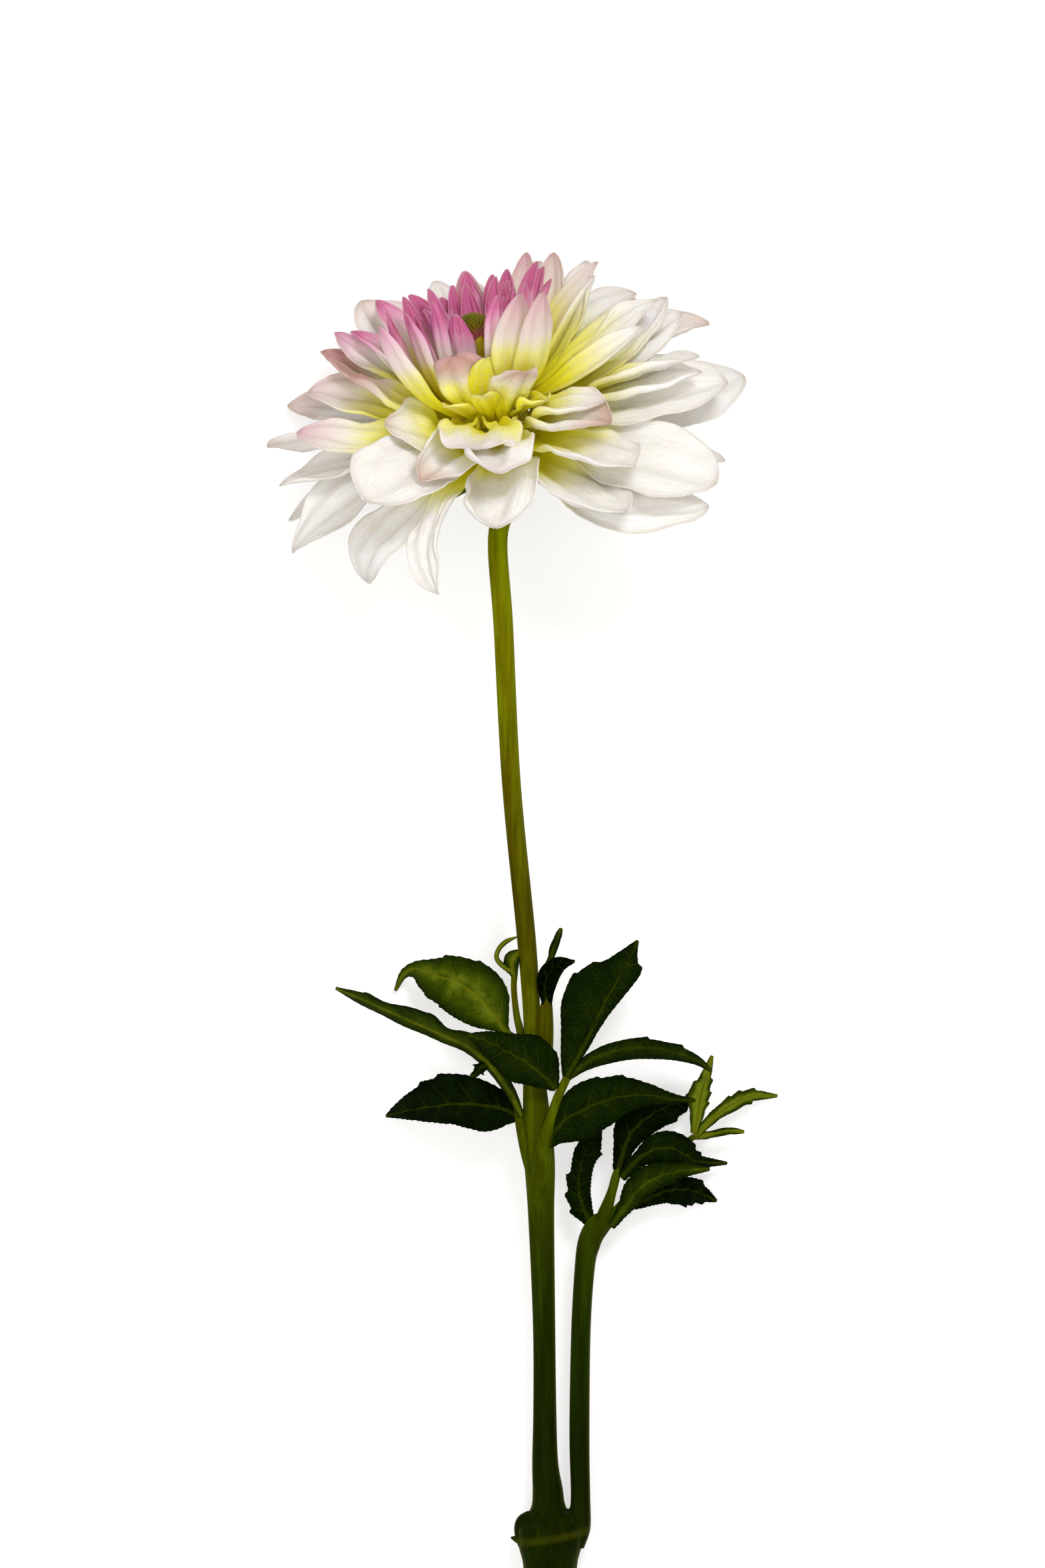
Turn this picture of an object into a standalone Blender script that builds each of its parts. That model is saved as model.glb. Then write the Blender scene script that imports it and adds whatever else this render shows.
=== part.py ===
"""A cut dahlia, laid on its side: one white and pink bloom on a long stem, two compound leaves,
an axil sprig and a leafy side shoot. +Z is up, +Y runs along the stem towards the bloom, and the
surface it lies on is z = 0. Tables are in millimetres and degrees; the objects are in metres.
"""

import math
from dataclasses import dataclass, replace

import bmesh
import bpy
import numpy as np
from mathutils import Vector
from mathutils.bvhtree import BVHTree

MM = 0.001

# ---------------------------------------------------------------- driving dimensions
HEAD_CENTRE = np.array([-7.3, 134.9, 44.0])  # middle of the receptacle
HEAD_AXIS = np.array([-0.20, 0.884, 0.423])  # the way the bloom faces
PETAL_THICKNESS = 0.8
LEAF_THICKNESS = 0.9
CLAW_WIDTH = 3.2  # a petal's foot
SEAT_GAP = 0.3  # between a piece and what carries it
CLEARANCE_THICKNESS = 1.6  # a petal this thick has to clear the others, so that gaps stay open
FLOOR_BEND = 12.0  # height over which a petal that meets the surface turns to lie along it
MIDRIB_STEPS = 24
LEAF_STALK_WIDTH = 1.5
LEAF_TIP_WIDTH = 0.6
PETAL_GRID = (7, 4)  # quads along and across
LEAF_GRID = (6, 4)
LEANS_TO_TRY = range(-24, 25, 3)  # changes of a petal's lean and azimuth tried as it is laid
TURNS_TO_TRY = range(-12, 13, 3)
TURN_COST = 1.5  # of a degree of azimuth, against one of lean

WIDEST = 0.55  # share of a petal's length at which it is widest
TIP_WIDTH = 0.1  # a petal's tip, as a share of its width
CLAW_CUP = 24  # how much further a petal's edges turn up at its foot, in degrees
RECEPTACLE_TOP = 8.6  # heights along the head's axis
RECEPTACLE_FOOT = -9.6
TURNED_STEPS = 24


@dataclass
class Ring:
    """Where a row of florets grows on the receptacle: its height along the head's axis and its
    radius. cup is how far the blades' edges turn up, and rest the height they settle at."""

    height: float
    radius: float
    cup: float
    rest: float


# From the outermost row inwards. The last three stand on the crown.
RINGS = {
    1: Ring(-4.2, 11.0, 26, 0.4),
    2: Ring(-1.6, 11.2, 28, 0.4),
    3: Ring(1.0, 10.9, 32, 1.8),
    4: Ring(3.4, 10.1, 38, 3.2),
    5: Ring(5.8, 8.9, 46, 4.6),
    6: Ring(10.0, 5.4, 52, 6.0),
    7: Ring(11.0, 3.8, 58, 6.0),
    8: Ring(11.8, 2.0, 64, 6.0),
}


@dataclass
class Petal:
    """One ray floret. azimuth turns about the head's axis, from its upper side (0) to +X (90).
    lean is the blade's angle from that axis, and arch the change in lean along its length.
    roll and twist turn the blade about its midrib, and curl bends its last third back."""

    azimuth: float
    lean: float
    length: float
    width: float
    arch: float = 16
    roll: float = 0
    twist: float = 0
    curl: float = 0
    blunt: float = 2.2


PETALS = {
    1: [
        Petal(-28, 118, 48, 12, arch=44, twist=50, blunt=1.3),
        Petal(-62, 110, 48, 17, arch=24, roll=-12),
        Petal(-88, 108, 55, 19, arch=16, roll=-24, blunt=1.2),
        Petal(-118, 110, 58, 14, arch=14),
        Petal(-11, 108, 31, 20, arch=70),
        Petal(55, 110, 53, 19, arch=-22, roll=10),
        Petal(125, 112, 50, 18, arch=14),
        Petal(-155, 124, 50, 18, arch=10),
    ],
    2: [
        Petal(-105, 96, 52, 14, arch=22, curl=20, blunt=1.4),
        Petal(-54, 88, 41, 24, arch=34, roll=-8),
        Petal(-128, 92, 61, 16, arch=6),
        Petal(-22, 84, 34, 19, arch=60),
        Petal(30, 102, 46, 19, arch=10),
        Petal(58, 100, 56, 23, arch=14, roll=20),
        Petal(98, 92, 58, 20, arch=4, roll=14),
        Petal(160, 96, 54, 18, arch=4),
    ],
    3: [
        Petal(-99, 78, 45, 15, arch=18, roll=-14),
        Petal(-118, 80, 54, 17, arch=10),
        Petal(-44, 62, 42, 22, arch=26),
        Petal(36, 91, 47, 22, arch=24),
        Petal(82, 86, 54, 21, arch=8, roll=18),
        Petal(112, 82, 57, 15, arch=10, curl=14),
        Petal(-150, 82, 52, 18, arch=6),
    ],
    4: [
        Petal(-104, 64, 42, 17, arch=14, roll=-10),
        Petal(-128, 64, 46, 16, arch=8),
        Petal(-8, 72, 27, 18, arch=50),
        Petal(46, 80, 36, 18, arch=16),
        Petal(74, 79, 51, 17, arch=12, roll=10),
        Petal(118, 70, 50, 17, arch=6),
    ],
    5: [
        Petal(-88, 52, 36, 13, arch=14),
        Petal(-114, 50, 43, 14, arch=8),
        Petal(-22, 48, 30, 17, arch=30),
        Petal(24, 50, 28, 15, arch=36),
        Petal(80, 58, 42, 14, arch=12),
        Petal(104, 56, 44, 15, arch=8),
    ],
}

# Young florets of the middle, which share one crown.
INNER_FLORETS = {
    6: [
        Petal(-142, 48, 44, 15),
        Petal(128, 50, 44, 16),
        Petal(148, 46, 43, 15),
        Petal(-168, 40, 38, 14),
        Petal(-96, 38, 32, 11),
        Petal(-120, 34, 34, 11),
        Petal(-58, 30, 28, 13),
        Petal(12, 26, 34, 14),
        Petal(52, 32, 40, 13),
        Petal(88, 38, 38, 13),
    ],
    7: [
        Petal(-102, 26, 33, 10),
        Petal(-150, 24, 33, 10),
        Petal(170, 24, 34, 10),
        Petal(120, 24, 34, 10),
        Petal(-35, 18, 34, 11),
        Petal(40, 16, 34, 10),
    ],
    8: [
        Petal(-150, 10, 26, 8),
        Petal(-30, 8, 25, 8),
        Petal(90, 10, 26, 8),
    ],
}


def unit(vector):
    return vector / np.linalg.norm(vector)


AXIS = unit(HEAD_AXIS)
UPPER = unit(np.array([0, 0, 1.0]) - AXIS[2] * AXIS)
ACROSS = np.cross(AXIS, UPPER)


def smooth(x):
    x = min(max(x, 0.0), 1.0)
    return x * x * (3 - 2 * x)


# ---------------------------------------------------------------- Blender helpers
def clear_scene():
    for existing in list(bpy.data.objects):
        bpy.data.objects.remove(existing)


def new_collection(name):
    made = bpy.data.collections.new(name)
    bpy.context.scene.collection.children.link(made)
    return made


def material(name, colour, roughness):
    made = bpy.data.materials.new(name)
    made.use_nodes = True
    shader = made.node_tree.nodes["Principled BSDF"]
    shader.inputs["Base Color"].default_value = (*colour, 1)
    shader.inputs["Roughness"].default_value = roughness
    shader.inputs["Metallic"].default_value = 0.0
    return made


def new_object(name, data, collection, surface):
    made = bpy.data.objects.new(name, data)
    collection.objects.link(made)
    data.materials.append(surface)
    return made


def sheet_mesh(place, rows, columns):
    """A grid bent to shape: place(u, v) is a point in mm, u along (0 to 1) and v across (-1 to 1)."""
    sheet = bmesh.new()
    bmesh.ops.create_grid(sheet, x_segments=columns, y_segments=rows, size=1)
    for corner in sheet.verts:
        corner.co = Vector(place((corner.co.y + 1) / 2, corner.co.x)) * MM
    return sheet


def sheet_object(name, place, rows, columns, thickness, collection, surface):
    sheet = sheet_mesh(place, rows, columns)
    data = bpy.data.meshes.new(name)
    sheet.to_mesh(data)
    sheet.free()
    data.shade_smooth()
    made = new_object(name, data, collection, surface)
    wall = made.modifiers.new("wall", "SOLIDIFY")
    wall.thickness = thickness * MM
    wall.offset = 0
    return made


def smooth_route(stations, steps):
    """Points on a Catmull-Rom curve through the stations, steps to each span."""
    stations = np.array(stations, dtype=float)
    padded = np.vstack([2 * stations[0] - stations[1], stations, 2 * stations[-1] - stations[-2]])
    points = []
    for before, start, end, after in zip(padded, padded[1:], padded[2:], padded[3:]):
        for t in np.arange(steps) / steps:
            points.append(
                start
                + 0.5 * t * (end - before)
                + t**2 * (before - 2.5 * start + 2 * end - 0.5 * after)
                + 0.5 * t**3 * (3 * start - 3 * end + after - before)
            )
    return np.array(points + [stations[-1]])


def tube_object(name, stations, steps, resolution, collection, surface):
    """A round stalk through stations of x, y, z and radius."""
    data = bpy.data.curves.new(name, "CURVE")
    data.dimensions = "3D"
    data.bevel_depth = MM
    data.bevel_resolution = resolution
    data.use_fill_caps = True
    route = smooth_route(stations, steps)
    line = data.splines.new("POLY")
    line.points.add(len(route) - 1)
    for point, (x, y, z, radius) in zip(line.points, route):
        point.co = (x * MM, y * MM, z * MM, 1)
        point.radius = radius
    return new_object(name, data, collection, surface)


# ---------------------------------------------------------------- petals
def petal_width(petal, u):
    """A claw a few mm wide that opens into the blade and closes to a small tip."""
    claw = CLAW_WIDTH / petal.width
    opening = claw + (1 - claw) * smooth(u / WIDEST)
    closing = 1 - (1 - TIP_WIDTH) * max(0.0, (u - WIDEST) / (1 - WIDEST)) ** petal.blunt
    return petal.width * opening * closing


def petal_midrib(petal, ring):
    """Points along a petal's midrib, and the way it runs at each."""
    row = RINGS[ring]
    turn = math.radians(petal.azimuth)
    outwards = math.cos(turn) * UPPER + math.sin(turn) * ACROSS
    first_lean = math.radians(petal.lean - petal.arch / 2)
    foot = row.radius + SEAT_GAP + PETAL_THICKNESS / 2 * abs(math.cos(first_lean))
    point = HEAD_CENTRE + AXIS * row.height + outwards * foot
    points, ways = [point], []
    for step in range(MIDRIB_STEPS):
        u = (step + 0.5) / MIDRIB_STEPS
        lean = math.radians(petal.lean + petal.arch * (u - 0.5) + petal.curl * smooth(3 * u - 2))
        way = math.cos(lean) * AXIS + math.sin(lean) * outwards
        steepest = -max(point[2] - row.rest, 0) / FLOOR_BEND
        if way[2] < steepest:
            level = unit(way[:2]) * math.sqrt(1 - steepest**2)
            way = np.array([level[0], level[1], steepest])
        point = point + way * petal.length / MIDRIB_STEPS
        points.append(point)
        ways.append(way)
    ways.append(ways[-1])
    return np.array(points), np.array(ways), np.cross(AXIS, outwards)


def petal_place(petal, ring):
    """The function place(u, v) of a petal's middle surface."""
    points, ways, side = petal_midrib(petal, ring)

    def place(u, v):
        low = min(int(u * MIDRIB_STEPS), MIDRIB_STEPS - 1)
        share = u * MIDRIB_STEPS - low
        middle = points[low] * (1 - share) + points[low + 1] * share
        along = unit(ways[low] * (1 - share) + ways[low + 1] * share)
        across = unit(side - (side @ along) * along)
        face = np.cross(along, across)
        turn = math.radians(petal.roll * smooth(2 * u) + petal.twist * u * u)
        across, face = (
            math.cos(turn) * across + math.sin(turn) * face,
            math.cos(turn) * face - math.sin(turn) * across,
        )
        edge_angle = math.radians(RINGS[ring].cup + CLAW_CUP * (1 - smooth(2.5 * u)))
        bend_radius = petal_width(petal, u) / 2 / edge_angle
        bend = edge_angle * v
        spot = middle + bend_radius * (across * math.sin(bend) + face * (1 - math.cos(bend)))
        spot[2] = max(spot[2], PETAL_THICKNESS / 2)
        return spot

    return place


def petal_body(petal, ring, thickness):
    """The petal as a search tree that finds overlaps with others."""
    sheet = sheet_mesh(petal_place(petal, ring), *PETAL_GRID)
    sheet.normal_update()
    for corner in sheet.verts:
        corner.co += corner.normal * thickness * MM / 2
    bmesh.ops.solidify(sheet, geom=sheet.faces[:], thickness=thickness * MM)
    tree = BVHTree.FromBMesh(sheet)
    sheet.free()
    return tree


def lay_clear(petal, ring, laid):
    """The petal, turned and leaned as little as it takes to be clear of those already laid."""
    changes = [(lean, turn) for lean in LEANS_TO_TRY for turn in TURNS_TO_TRY]
    changes.sort(key=lambda change: abs(change[0]) + TURN_COST * abs(change[1]))
    for lean, turn in changes:
        tried = replace(petal, lean=petal.lean + lean, azimuth=petal.azimuth + turn)
        body = petal_body(tried, ring, CLEARANCE_THICKNESS)
        if not any(body.overlap(other) for other in laid):
            return tried
    return petal


def petal_object(name, petal, ring, collection, surface):
    place = petal_place(petal, ring)
    return sheet_object(name, place, *PETAL_GRID, PETAL_THICKNESS, collection, surface)


# ---------------------------------------------------------------- head
def turned_object(name, profile, collection, surface):
    """A profile of (radius, height) in mm, from top to bottom, turned about the head's axis."""
    data = bpy.data.meshes.new(name)
    outline = bmesh.new()
    corners = [outline.verts.new((radius * MM, 0, height * MM)) for radius, height in profile]
    for upper, lower in zip(corners, corners[1:]):
        outline.edges.new((upper, lower))
    outline.to_mesh(data)
    outline.free()
    made = new_object(name, data, collection, surface)
    made.location = Vector(HEAD_CENTRE) * MM
    made.rotation_mode = "QUATERNION"
    made.rotation_quaternion = Vector((0, 0, 1)).rotation_difference(Vector(AXIS))
    turning = made.modifiers.new("turning", "SCREW")
    turning.steps = turning.render_steps = TURNED_STEPS
    turning.use_merge_vertices = True
    turning.merge_threshold = 0.00001
    return made


def build_receptacle(collection):
    """The fleshy disc that the florets grow from, narrowing to the stem behind them."""
    rim = [(RINGS[ring].radius, RINGS[ring].height) for ring in reversed(PETALS)]
    profile = [(0, RECEPTACLE_TOP), (6.6, RECEPTACLE_TOP)] + rim
    profile += [(9.4, -6.6), (5.4, -8.4), (3.2, RECEPTACLE_FOOT), (0, RECEPTACLE_FOOT)]
    turned_object("receptacle", profile, collection, material("receptacle", (0.35, 0.5, 0.1), 0.6))


def build_ray_florets(collection):
    """The five outer rows, laid from the outermost inwards. Returns their bodies."""
    laid = []
    for ring, petals in PETALS.items():
        for number, petal in enumerate(petals, 1):
            name = f"petal_row{ring}_{number}"
            petal = lay_clear(petal, ring, laid)
            laid.append(petal_body(petal, ring, PETAL_THICKNESS))
            blush = 0.03 * ring
            surface = material(name, (0.93, 0.90 - blush, 0.86 - blush), 0.55)
            petal_object(name, petal, ring, collection, surface)
    return laid


def build_inner_florets(collection, cutters, laid):
    """The young florets of the middle, one solid with the crown that they open from."""
    surface = material("inner_florets", (0.85, 0.5, 0.68), 0.5)
    foot = RECEPTACLE_TOP + SEAT_GAP
    profile = [(0, 13.4), (2.6, 13.0), (4.8, 11.9), (6.6, 10.4), (6.9, foot), (0, foot)]
    crown = turned_object("inner_florets", profile, collection, surface)
    for ring, florets in INNER_FLORETS.items():
        for number, floret in enumerate(florets, 1):
            floret = lay_clear(floret, ring, laid)
            laid.append(petal_body(floret, ring, PETAL_THICKNESS))
            name = f"floret_{ring}_{number}"
            helper = petal_object(name, floret, ring, cutters, surface)
            helper.hide_render = True
            helper.display_type = "WIRE"
            joined = crown.modifiers.new(name, "BOOLEAN")
            joined.operation = "UNION"
            joined.object = helper


# ---------------------------------------------------------------- stems
# Stations of a stalk: x, y, z and radius. The main stem swells at its cut foot, where a pair of
# old leaves and the side shoot grew, and again where the two compound leaves leave it.
MAIN_STEM = [
    (7.4, -185, 10.0, 7.4),
    (7.4, -177, 10.0, 7.5),
    (7.4, -171, 10.0, 9.2),
    (7.6, -167, 10.0, 9.9),
    (7.6, -163.8, 10.0, 9.9),
    (7.5, -162.9, 10.1, 4.6),
    (6.8, -159, 10.6, 4.2),
    (6.0, -148, 11.8, 3.6),
    (5.9, -133, 13.4, 3.2),
    (5.7, -110, 15.8, 3.1),
    (4.9, -80, 18.9, 3.6),
    (4.5, -66, 20.3, 4.2),
    (3.9, -57, 21.2, 4.1),
    (2.9, -40, 23.0, 3.0),
    (2.4, -26, 24.4, 2.4),
    (0.8, -3, 26.8, 2.6),
    (-3.3, 39.3, 31.1, 2.6),
    (-5.5, 82.4, 35.3, 2.7),
    (-7.0, 106.8, 36.2, 2.7),
]
NECK = (10, 4, SEAT_GAP)  # distances behind the receptacle at which the stem turns to meet it
NECK_RADIUS = 2.8
STEM_STEPS, STEM_RESOLUTION = 2, 3  # spans between stations, and how round the section is
STALK_STEPS, STALK_RESOLUTION = 3, 2

STALKS = {
    "side_shoot": [
        (15.8, -162.1, 10.4, 2.7),
        (15.7, -157, 10.5, 2.7),
        (15.4, -140, 11.0, 2.6),
        (15.8, -112, 11.8, 2.4),
        (17.0, -94, 12.6, 2.6),
        (18.2, -87.5, 13.0, 3.3),
        (19.9, -82.5, 13.3, 3.4),
    ],
    "left_petiole": [
        (-1.5, -61, 21.5, 1.2),
        (-1.8, -52, 23.5, 1.1),
        (-3.0, -44, 25.5, 1.0),
    ],
    "right_petiole": [
        (5.0, -67, 26.0, 1.4),
        (6.8, -56, 27.6, 1.3),
        (9.2, -44, 29.3, 1.2),
        (12.3, -39.8, 29.7, 1.1),
    ],
    "left_sprig": [
        (-1.9, -41, 21.5, 1.2),
        (-1.8, -32, 22.5, 1.2),
        (-2.2, -24, 23.3, 0.9),
        (-2.4, -15, 24.5, 0.8),
        (-2.6, -9, 25.5, 0.8),
    ],
    "right_sprig": [
        (8.0, -40, 22.6, 1.4),
        (6.9, -30, 24.2, 1.5),
        (6.6, -21, 25.2, 1.1),
    ],
    "side_petiole_upper": [
        (20.2, -81.8, 14.2, 1.3),
        (22.5, -75, 15.0, 1.2),
        (25.0, -68.5, 14.8, 1.1),
        (26.6, -62, 13.8, 1.0),
    ],
    "side_petiole_lower": [
        (22.2, -81.6, 11.8, 1.3),
        (26.5, -77.3, 12.2, 1.2),
        (32, -71.5, 12.0, 1.1),
        (37, -66.5, 11.4, 1.0),
        (42, -62, 10.8, 0.9),
        (47, -58.4, 10.4, 0.8),
    ],
}


def build_stems(collection):
    neck = [(*(HEAD_CENTRE + AXIS * (RECEPTACLE_FOOT - back)), NECK_RADIUS) for back in NECK]
    green = material("main_stem", (0.22, 0.3, 0.04), 0.5)
    tube_object("main_stem", MAIN_STEM + neck, STEM_STEPS, STEM_RESOLUTION, collection, green)
    for name, stations in STALKS.items():
        green = material(name, (0.24, 0.34, 0.05), 0.5)
        tube_object(name, stations, STALK_STEPS, STALK_RESOLUTION, collection, green)


# ---------------------------------------------------------------- leaves
@dataclass
class Leaf:
    """One leaflet from its foot to its tip. bow moves the middle of its midrib, roll turns the
    blade about the midrib, fold lifts its two halves, and stalk is the narrow share of its length."""

    foot: tuple
    tip: tuple
    width: float
    bow: tuple = (0, 0, 3)
    roll: float = 0
    fold: float = 16
    stalk: float = 0.06


LEAVES = {
    "left_leaflet_upper": Leaf((-3.8, -30.4, 22.6), (-34.0, -16.0, 1.0), 19, bow=(0, 4.7, 5)),
    "left_leaflet_long": Leaf((-3.6, -43.0, 26.2), (-51.7, -17.4, 2.0), 14, bow=(0, -1, 5), roll=-50),
    "left_leaflet_lower": Leaf((-3.6, -53.2, 23.4), (-38.0, -52.8, 1.0), 16, bow=(0, 3.7, 6)),
    "front_leaflet": Leaf((7.2, -43.6, 30.0), (-14.8, -29.5, 30.0), 17, bow=(3, 3, 5)),
    "right_leaflet_upper": Leaf((12.8, -39.0, 29.9), (31.4, -4.0, 18.0), 20, bow=(-1, 1, 3)),
    "right_leaflet_middle": Leaf((13.3, -42.0, 29.4), (51.9, -40.0, 13.0), 13, bow=(0, 8, 4), roll=45),
    "right_leaflet_lower": Leaf((8.4, -60.0, 27.2), (47.9, -48.3, 12.5), 18, bow=(0, 3.5, 6)),
    "right_sprig_leaf": Leaf((6.7, -20.2, 25.4), (13.9, -8.0, 24.0), 7, bow=(-1.5, 2, 2)),
    "side_leaf_inner": Leaf((17.8, -81.0, 13.2), (18.8, -55.0, 9.0), 11, bow=(-2, 0, 2)),
    "side_leaf_top": Leaf((26.9, -61.2, 13.6), (47.0, -49.5, 5.0), 13, bow=(-1, 2, 1)),
    "side_leaf_upper": Leaf((27.3, -67.4, 14.6), (57.0, -66.0, 4.5), 12, bow=(0, 2, 4)),
    "side_leaf_long": Leaf((27.0, -76.4, 14.2), (46.5, -67.6, 16.5), 8, bow=(0, -0.5, 2), roll=-30),
    "side_leaf_lower": Leaf((25.9, -81.0, 11.6), (53.9, -76.5, 1.2), 10, bow=(0, -0.5, 2)),
    "side_tip_leaf": Leaf((47.0, -57.3, 10.6), (52.5, -36.1, 5.0), 8, bow=(-1, 0, 1)),
    "side_end_leaf": Leaf((48.2, -58.7, 10.2), (70.6, -47.3, 1.2), 6, bow=(0, 1, 2)),
}


def leaf_width(leaf, u):
    """A narrow stalk that opens into an egg-shaped blade with a long tip."""
    narrow = LEAF_STALK_WIDTH * (1 - u) + LEAF_TIP_WIDTH * u
    blade = max(0.0, (u - leaf.stalk) / (1 - leaf.stalk))
    return narrow + (leaf.width - narrow) * math.sin(math.pi * blade**0.8) ** 1.2


def leaf_place(leaf):
    """The function place(u, v) of a leaflet's middle surface."""
    foot, tip, bow = np.array(leaf.foot), np.array(leaf.tip), np.array(leaf.bow)
    knee = (foot + tip) / 2 + 2 * bow

    def place(u, v):
        middle = (1 - u) ** 2 * foot + 2 * u * (1 - u) * knee + u**2 * tip
        along = unit((1 - u) * (knee - foot) + u * (tip - knee))
        across = unit(np.cross(along, (0, 0, 1)))
        face = np.cross(across, along)
        roll, fold = math.radians(leaf.roll * smooth(3 * u)), math.radians(leaf.fold)
        across, face = (
            math.cos(roll) * across + math.sin(roll) * face,
            math.cos(roll) * face - math.sin(roll) * across,
        )
        half = leaf_width(leaf, u) / 2
        spot = middle + half * (v * math.cos(fold) * across + abs(v) * math.sin(fold) * face)
        spot[2] = max(spot[2], LEAF_THICKNESS / 2)
        return spot

    return place


def build_leaves(collection):
    for name, leaf in LEAVES.items():
        green = material(name, (0.06, 0.13, 0.02), 0.5)
        sheet_object(name, leaf_place(leaf), *LEAF_GRID, LEAF_THICKNESS, collection, green)


def build():
    clear_scene()
    flower = new_collection("cut_dahlia")
    cutters = new_collection("cutters")
    build_receptacle(flower)
    build_inner_florets(flower, cutters, build_ray_florets(flower))
    build_stems(flower)
    build_leaves(flower)


build()
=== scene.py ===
"""A cut dahlia lying on its side: one white and pink bloom on a long stem, two compound leaves,
axil sprigs and a leafy side shoot. Tables are in millimetres and degrees."""

import math
from dataclasses import dataclass, replace

import bmesh
import bpy
import numpy as np
from mathutils import Matrix, Vector
from mathutils.bvhtree import BVHTree


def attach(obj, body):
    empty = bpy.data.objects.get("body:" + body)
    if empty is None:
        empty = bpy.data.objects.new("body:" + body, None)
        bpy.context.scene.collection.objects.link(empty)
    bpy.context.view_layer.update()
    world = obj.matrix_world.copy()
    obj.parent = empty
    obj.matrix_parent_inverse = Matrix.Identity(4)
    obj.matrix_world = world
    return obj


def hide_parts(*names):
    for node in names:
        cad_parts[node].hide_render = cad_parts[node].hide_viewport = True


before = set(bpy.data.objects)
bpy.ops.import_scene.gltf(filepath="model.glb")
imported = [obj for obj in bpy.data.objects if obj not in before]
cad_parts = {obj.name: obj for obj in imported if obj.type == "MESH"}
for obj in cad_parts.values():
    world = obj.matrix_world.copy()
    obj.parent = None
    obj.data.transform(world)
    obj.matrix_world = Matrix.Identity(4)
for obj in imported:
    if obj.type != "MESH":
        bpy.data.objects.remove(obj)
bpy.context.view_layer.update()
MM = 0.001

# ---------------------------------------------------------------- the view
# The camera looks straight down on the lying flower. It has a long lens and stands two metres off,
# so that the petals that rise towards it look no larger than they are.
def add_object(name, data):
    """A new object in the scene, at the origin."""
    made = bpy.data.objects.new(name, data)
    bpy.context.scene.collection.objects.link(made)
    return made


camera_data = bpy.data.cameras.new("camera")
camera_data.sensor_width = 36
camera_data.lens = 165
camera_data.clip_end = 10
camera = add_object("camera", camera_data)
camera.location = (-0.2 * MM, 39.3 * MM, 2.0)
bpy.context.scene.camera = camera

# ---------------------------------------------------------------- receptacle
# The fleshy disc that every floret grows from. Its back shows where the stalk widens into it, and
# its front only between the florets. The solid of the frame stays, green behind, yellow in front.
def node(tree, kind, inputs=None, **settings):
    """Adds a node. inputs maps a socket's name or number to a value, or to the socket to link."""
    made = tree.nodes.new(kind)
    for name, value in settings.items():
        setattr(made, name, value)
    for key, value in (inputs or {}).items():
        if isinstance(value, bpy.types.NodeSocket):
            tree.links.new(value, made.inputs[key])
        else:
            made.inputs[key].default_value = value
    return made


def number(tree, operation, *values, clamp=False):
    made = node(tree, "ShaderNodeMath", dict(enumerate(values)), operation=operation)
    made.use_clamp = clamp
    return made.outputs[0]


def rise(tree, value, start, end, low=0.0, high=1.0):
    """low below start and high above end, with a smooth change between them."""
    inputs = {0: value, 1: start, 2: end, 3: low, 4: high}
    return node(tree, "ShaderNodeMapRange", inputs, interpolation_type="SMOOTHSTEP").outputs[0]


def blend(tree, factor, first, second, mode="MIX"):
    """Mixes two colours, each a socket or (r, g, b)."""
    first, second = ((*c, 1) if isinstance(c, tuple) else c for c in (first, second))
    inputs = {0: factor, 6: first, 7: second}
    return node(tree, "ShaderNodeMix", inputs, data_type="RGBA", blend_type=mode).outputs[2]


def ramp(tree, factor, stops):
    """Colour along a list of (position, (r, g, b))."""
    made = node(tree, "ShaderNodeValToRGB", {0: factor})
    spare = made.color_ramp.elements
    while len(spare) > 1:
        spare.remove(spare[-1])
    spare[0].position, spare[0].color = stops[0][0], (*stops[0][1], 1)
    for position, colour in stops[1:]:
        spare.new(position).color = (*colour, 1)
    return made.outputs["Color"]


def noise(tree, vector, scale, detail=3.0, roughness=0.55):
    inputs = {"Vector": vector, "Scale": scale, "Detail": detail, "Roughness": roughness}
    return node(tree, "ShaderNodeTexNoise", inputs).outputs["Fac"]


def attribute(tree, name):
    """Inside a material, a number stored at each point of the piece."""
    return node(tree, "ShaderNodeAttribute", attribute_name=name).outputs["Fac"]


def in_metres(tree):
    """The point on a piece, in metres of the shared frame."""
    return node(tree, "ShaderNodeTexCoord").outputs["Object"]


def surface(name, roughness, specular, subsurface=0.0, depth=1 * MM, spread=(1.0, 0.8, 0.5)):
    """A new material. Returns it with its tree and its shader."""
    made = bpy.data.materials.new(name)
    made.use_nodes = True
    shader = made.node_tree.nodes["Principled BSDF"]
    shader.inputs["Roughness"].default_value = roughness
    shader.inputs["Specular IOR Level"].default_value = specular
    shader.inputs["Subsurface Weight"].default_value = subsurface
    shader.inputs["Subsurface Scale"].default_value = depth
    shader.inputs["Subsurface Radius"].default_value = spread
    return made, made.node_tree, shader


def finish_skin(tree, shader, colour, height, distance, strength=1.0):
    """Gives a skin its colour, and a fine relief that is distance metres deep."""
    tree.links.new(colour, shader.inputs["Base Color"])
    inputs = {"Height": height, "Distance": distance, "Strength": strength}
    bump = node(tree, "ShaderNodeBump", inputs)
    tree.links.new(bump.outputs["Normal"], shader.inputs["Normal"])


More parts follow.
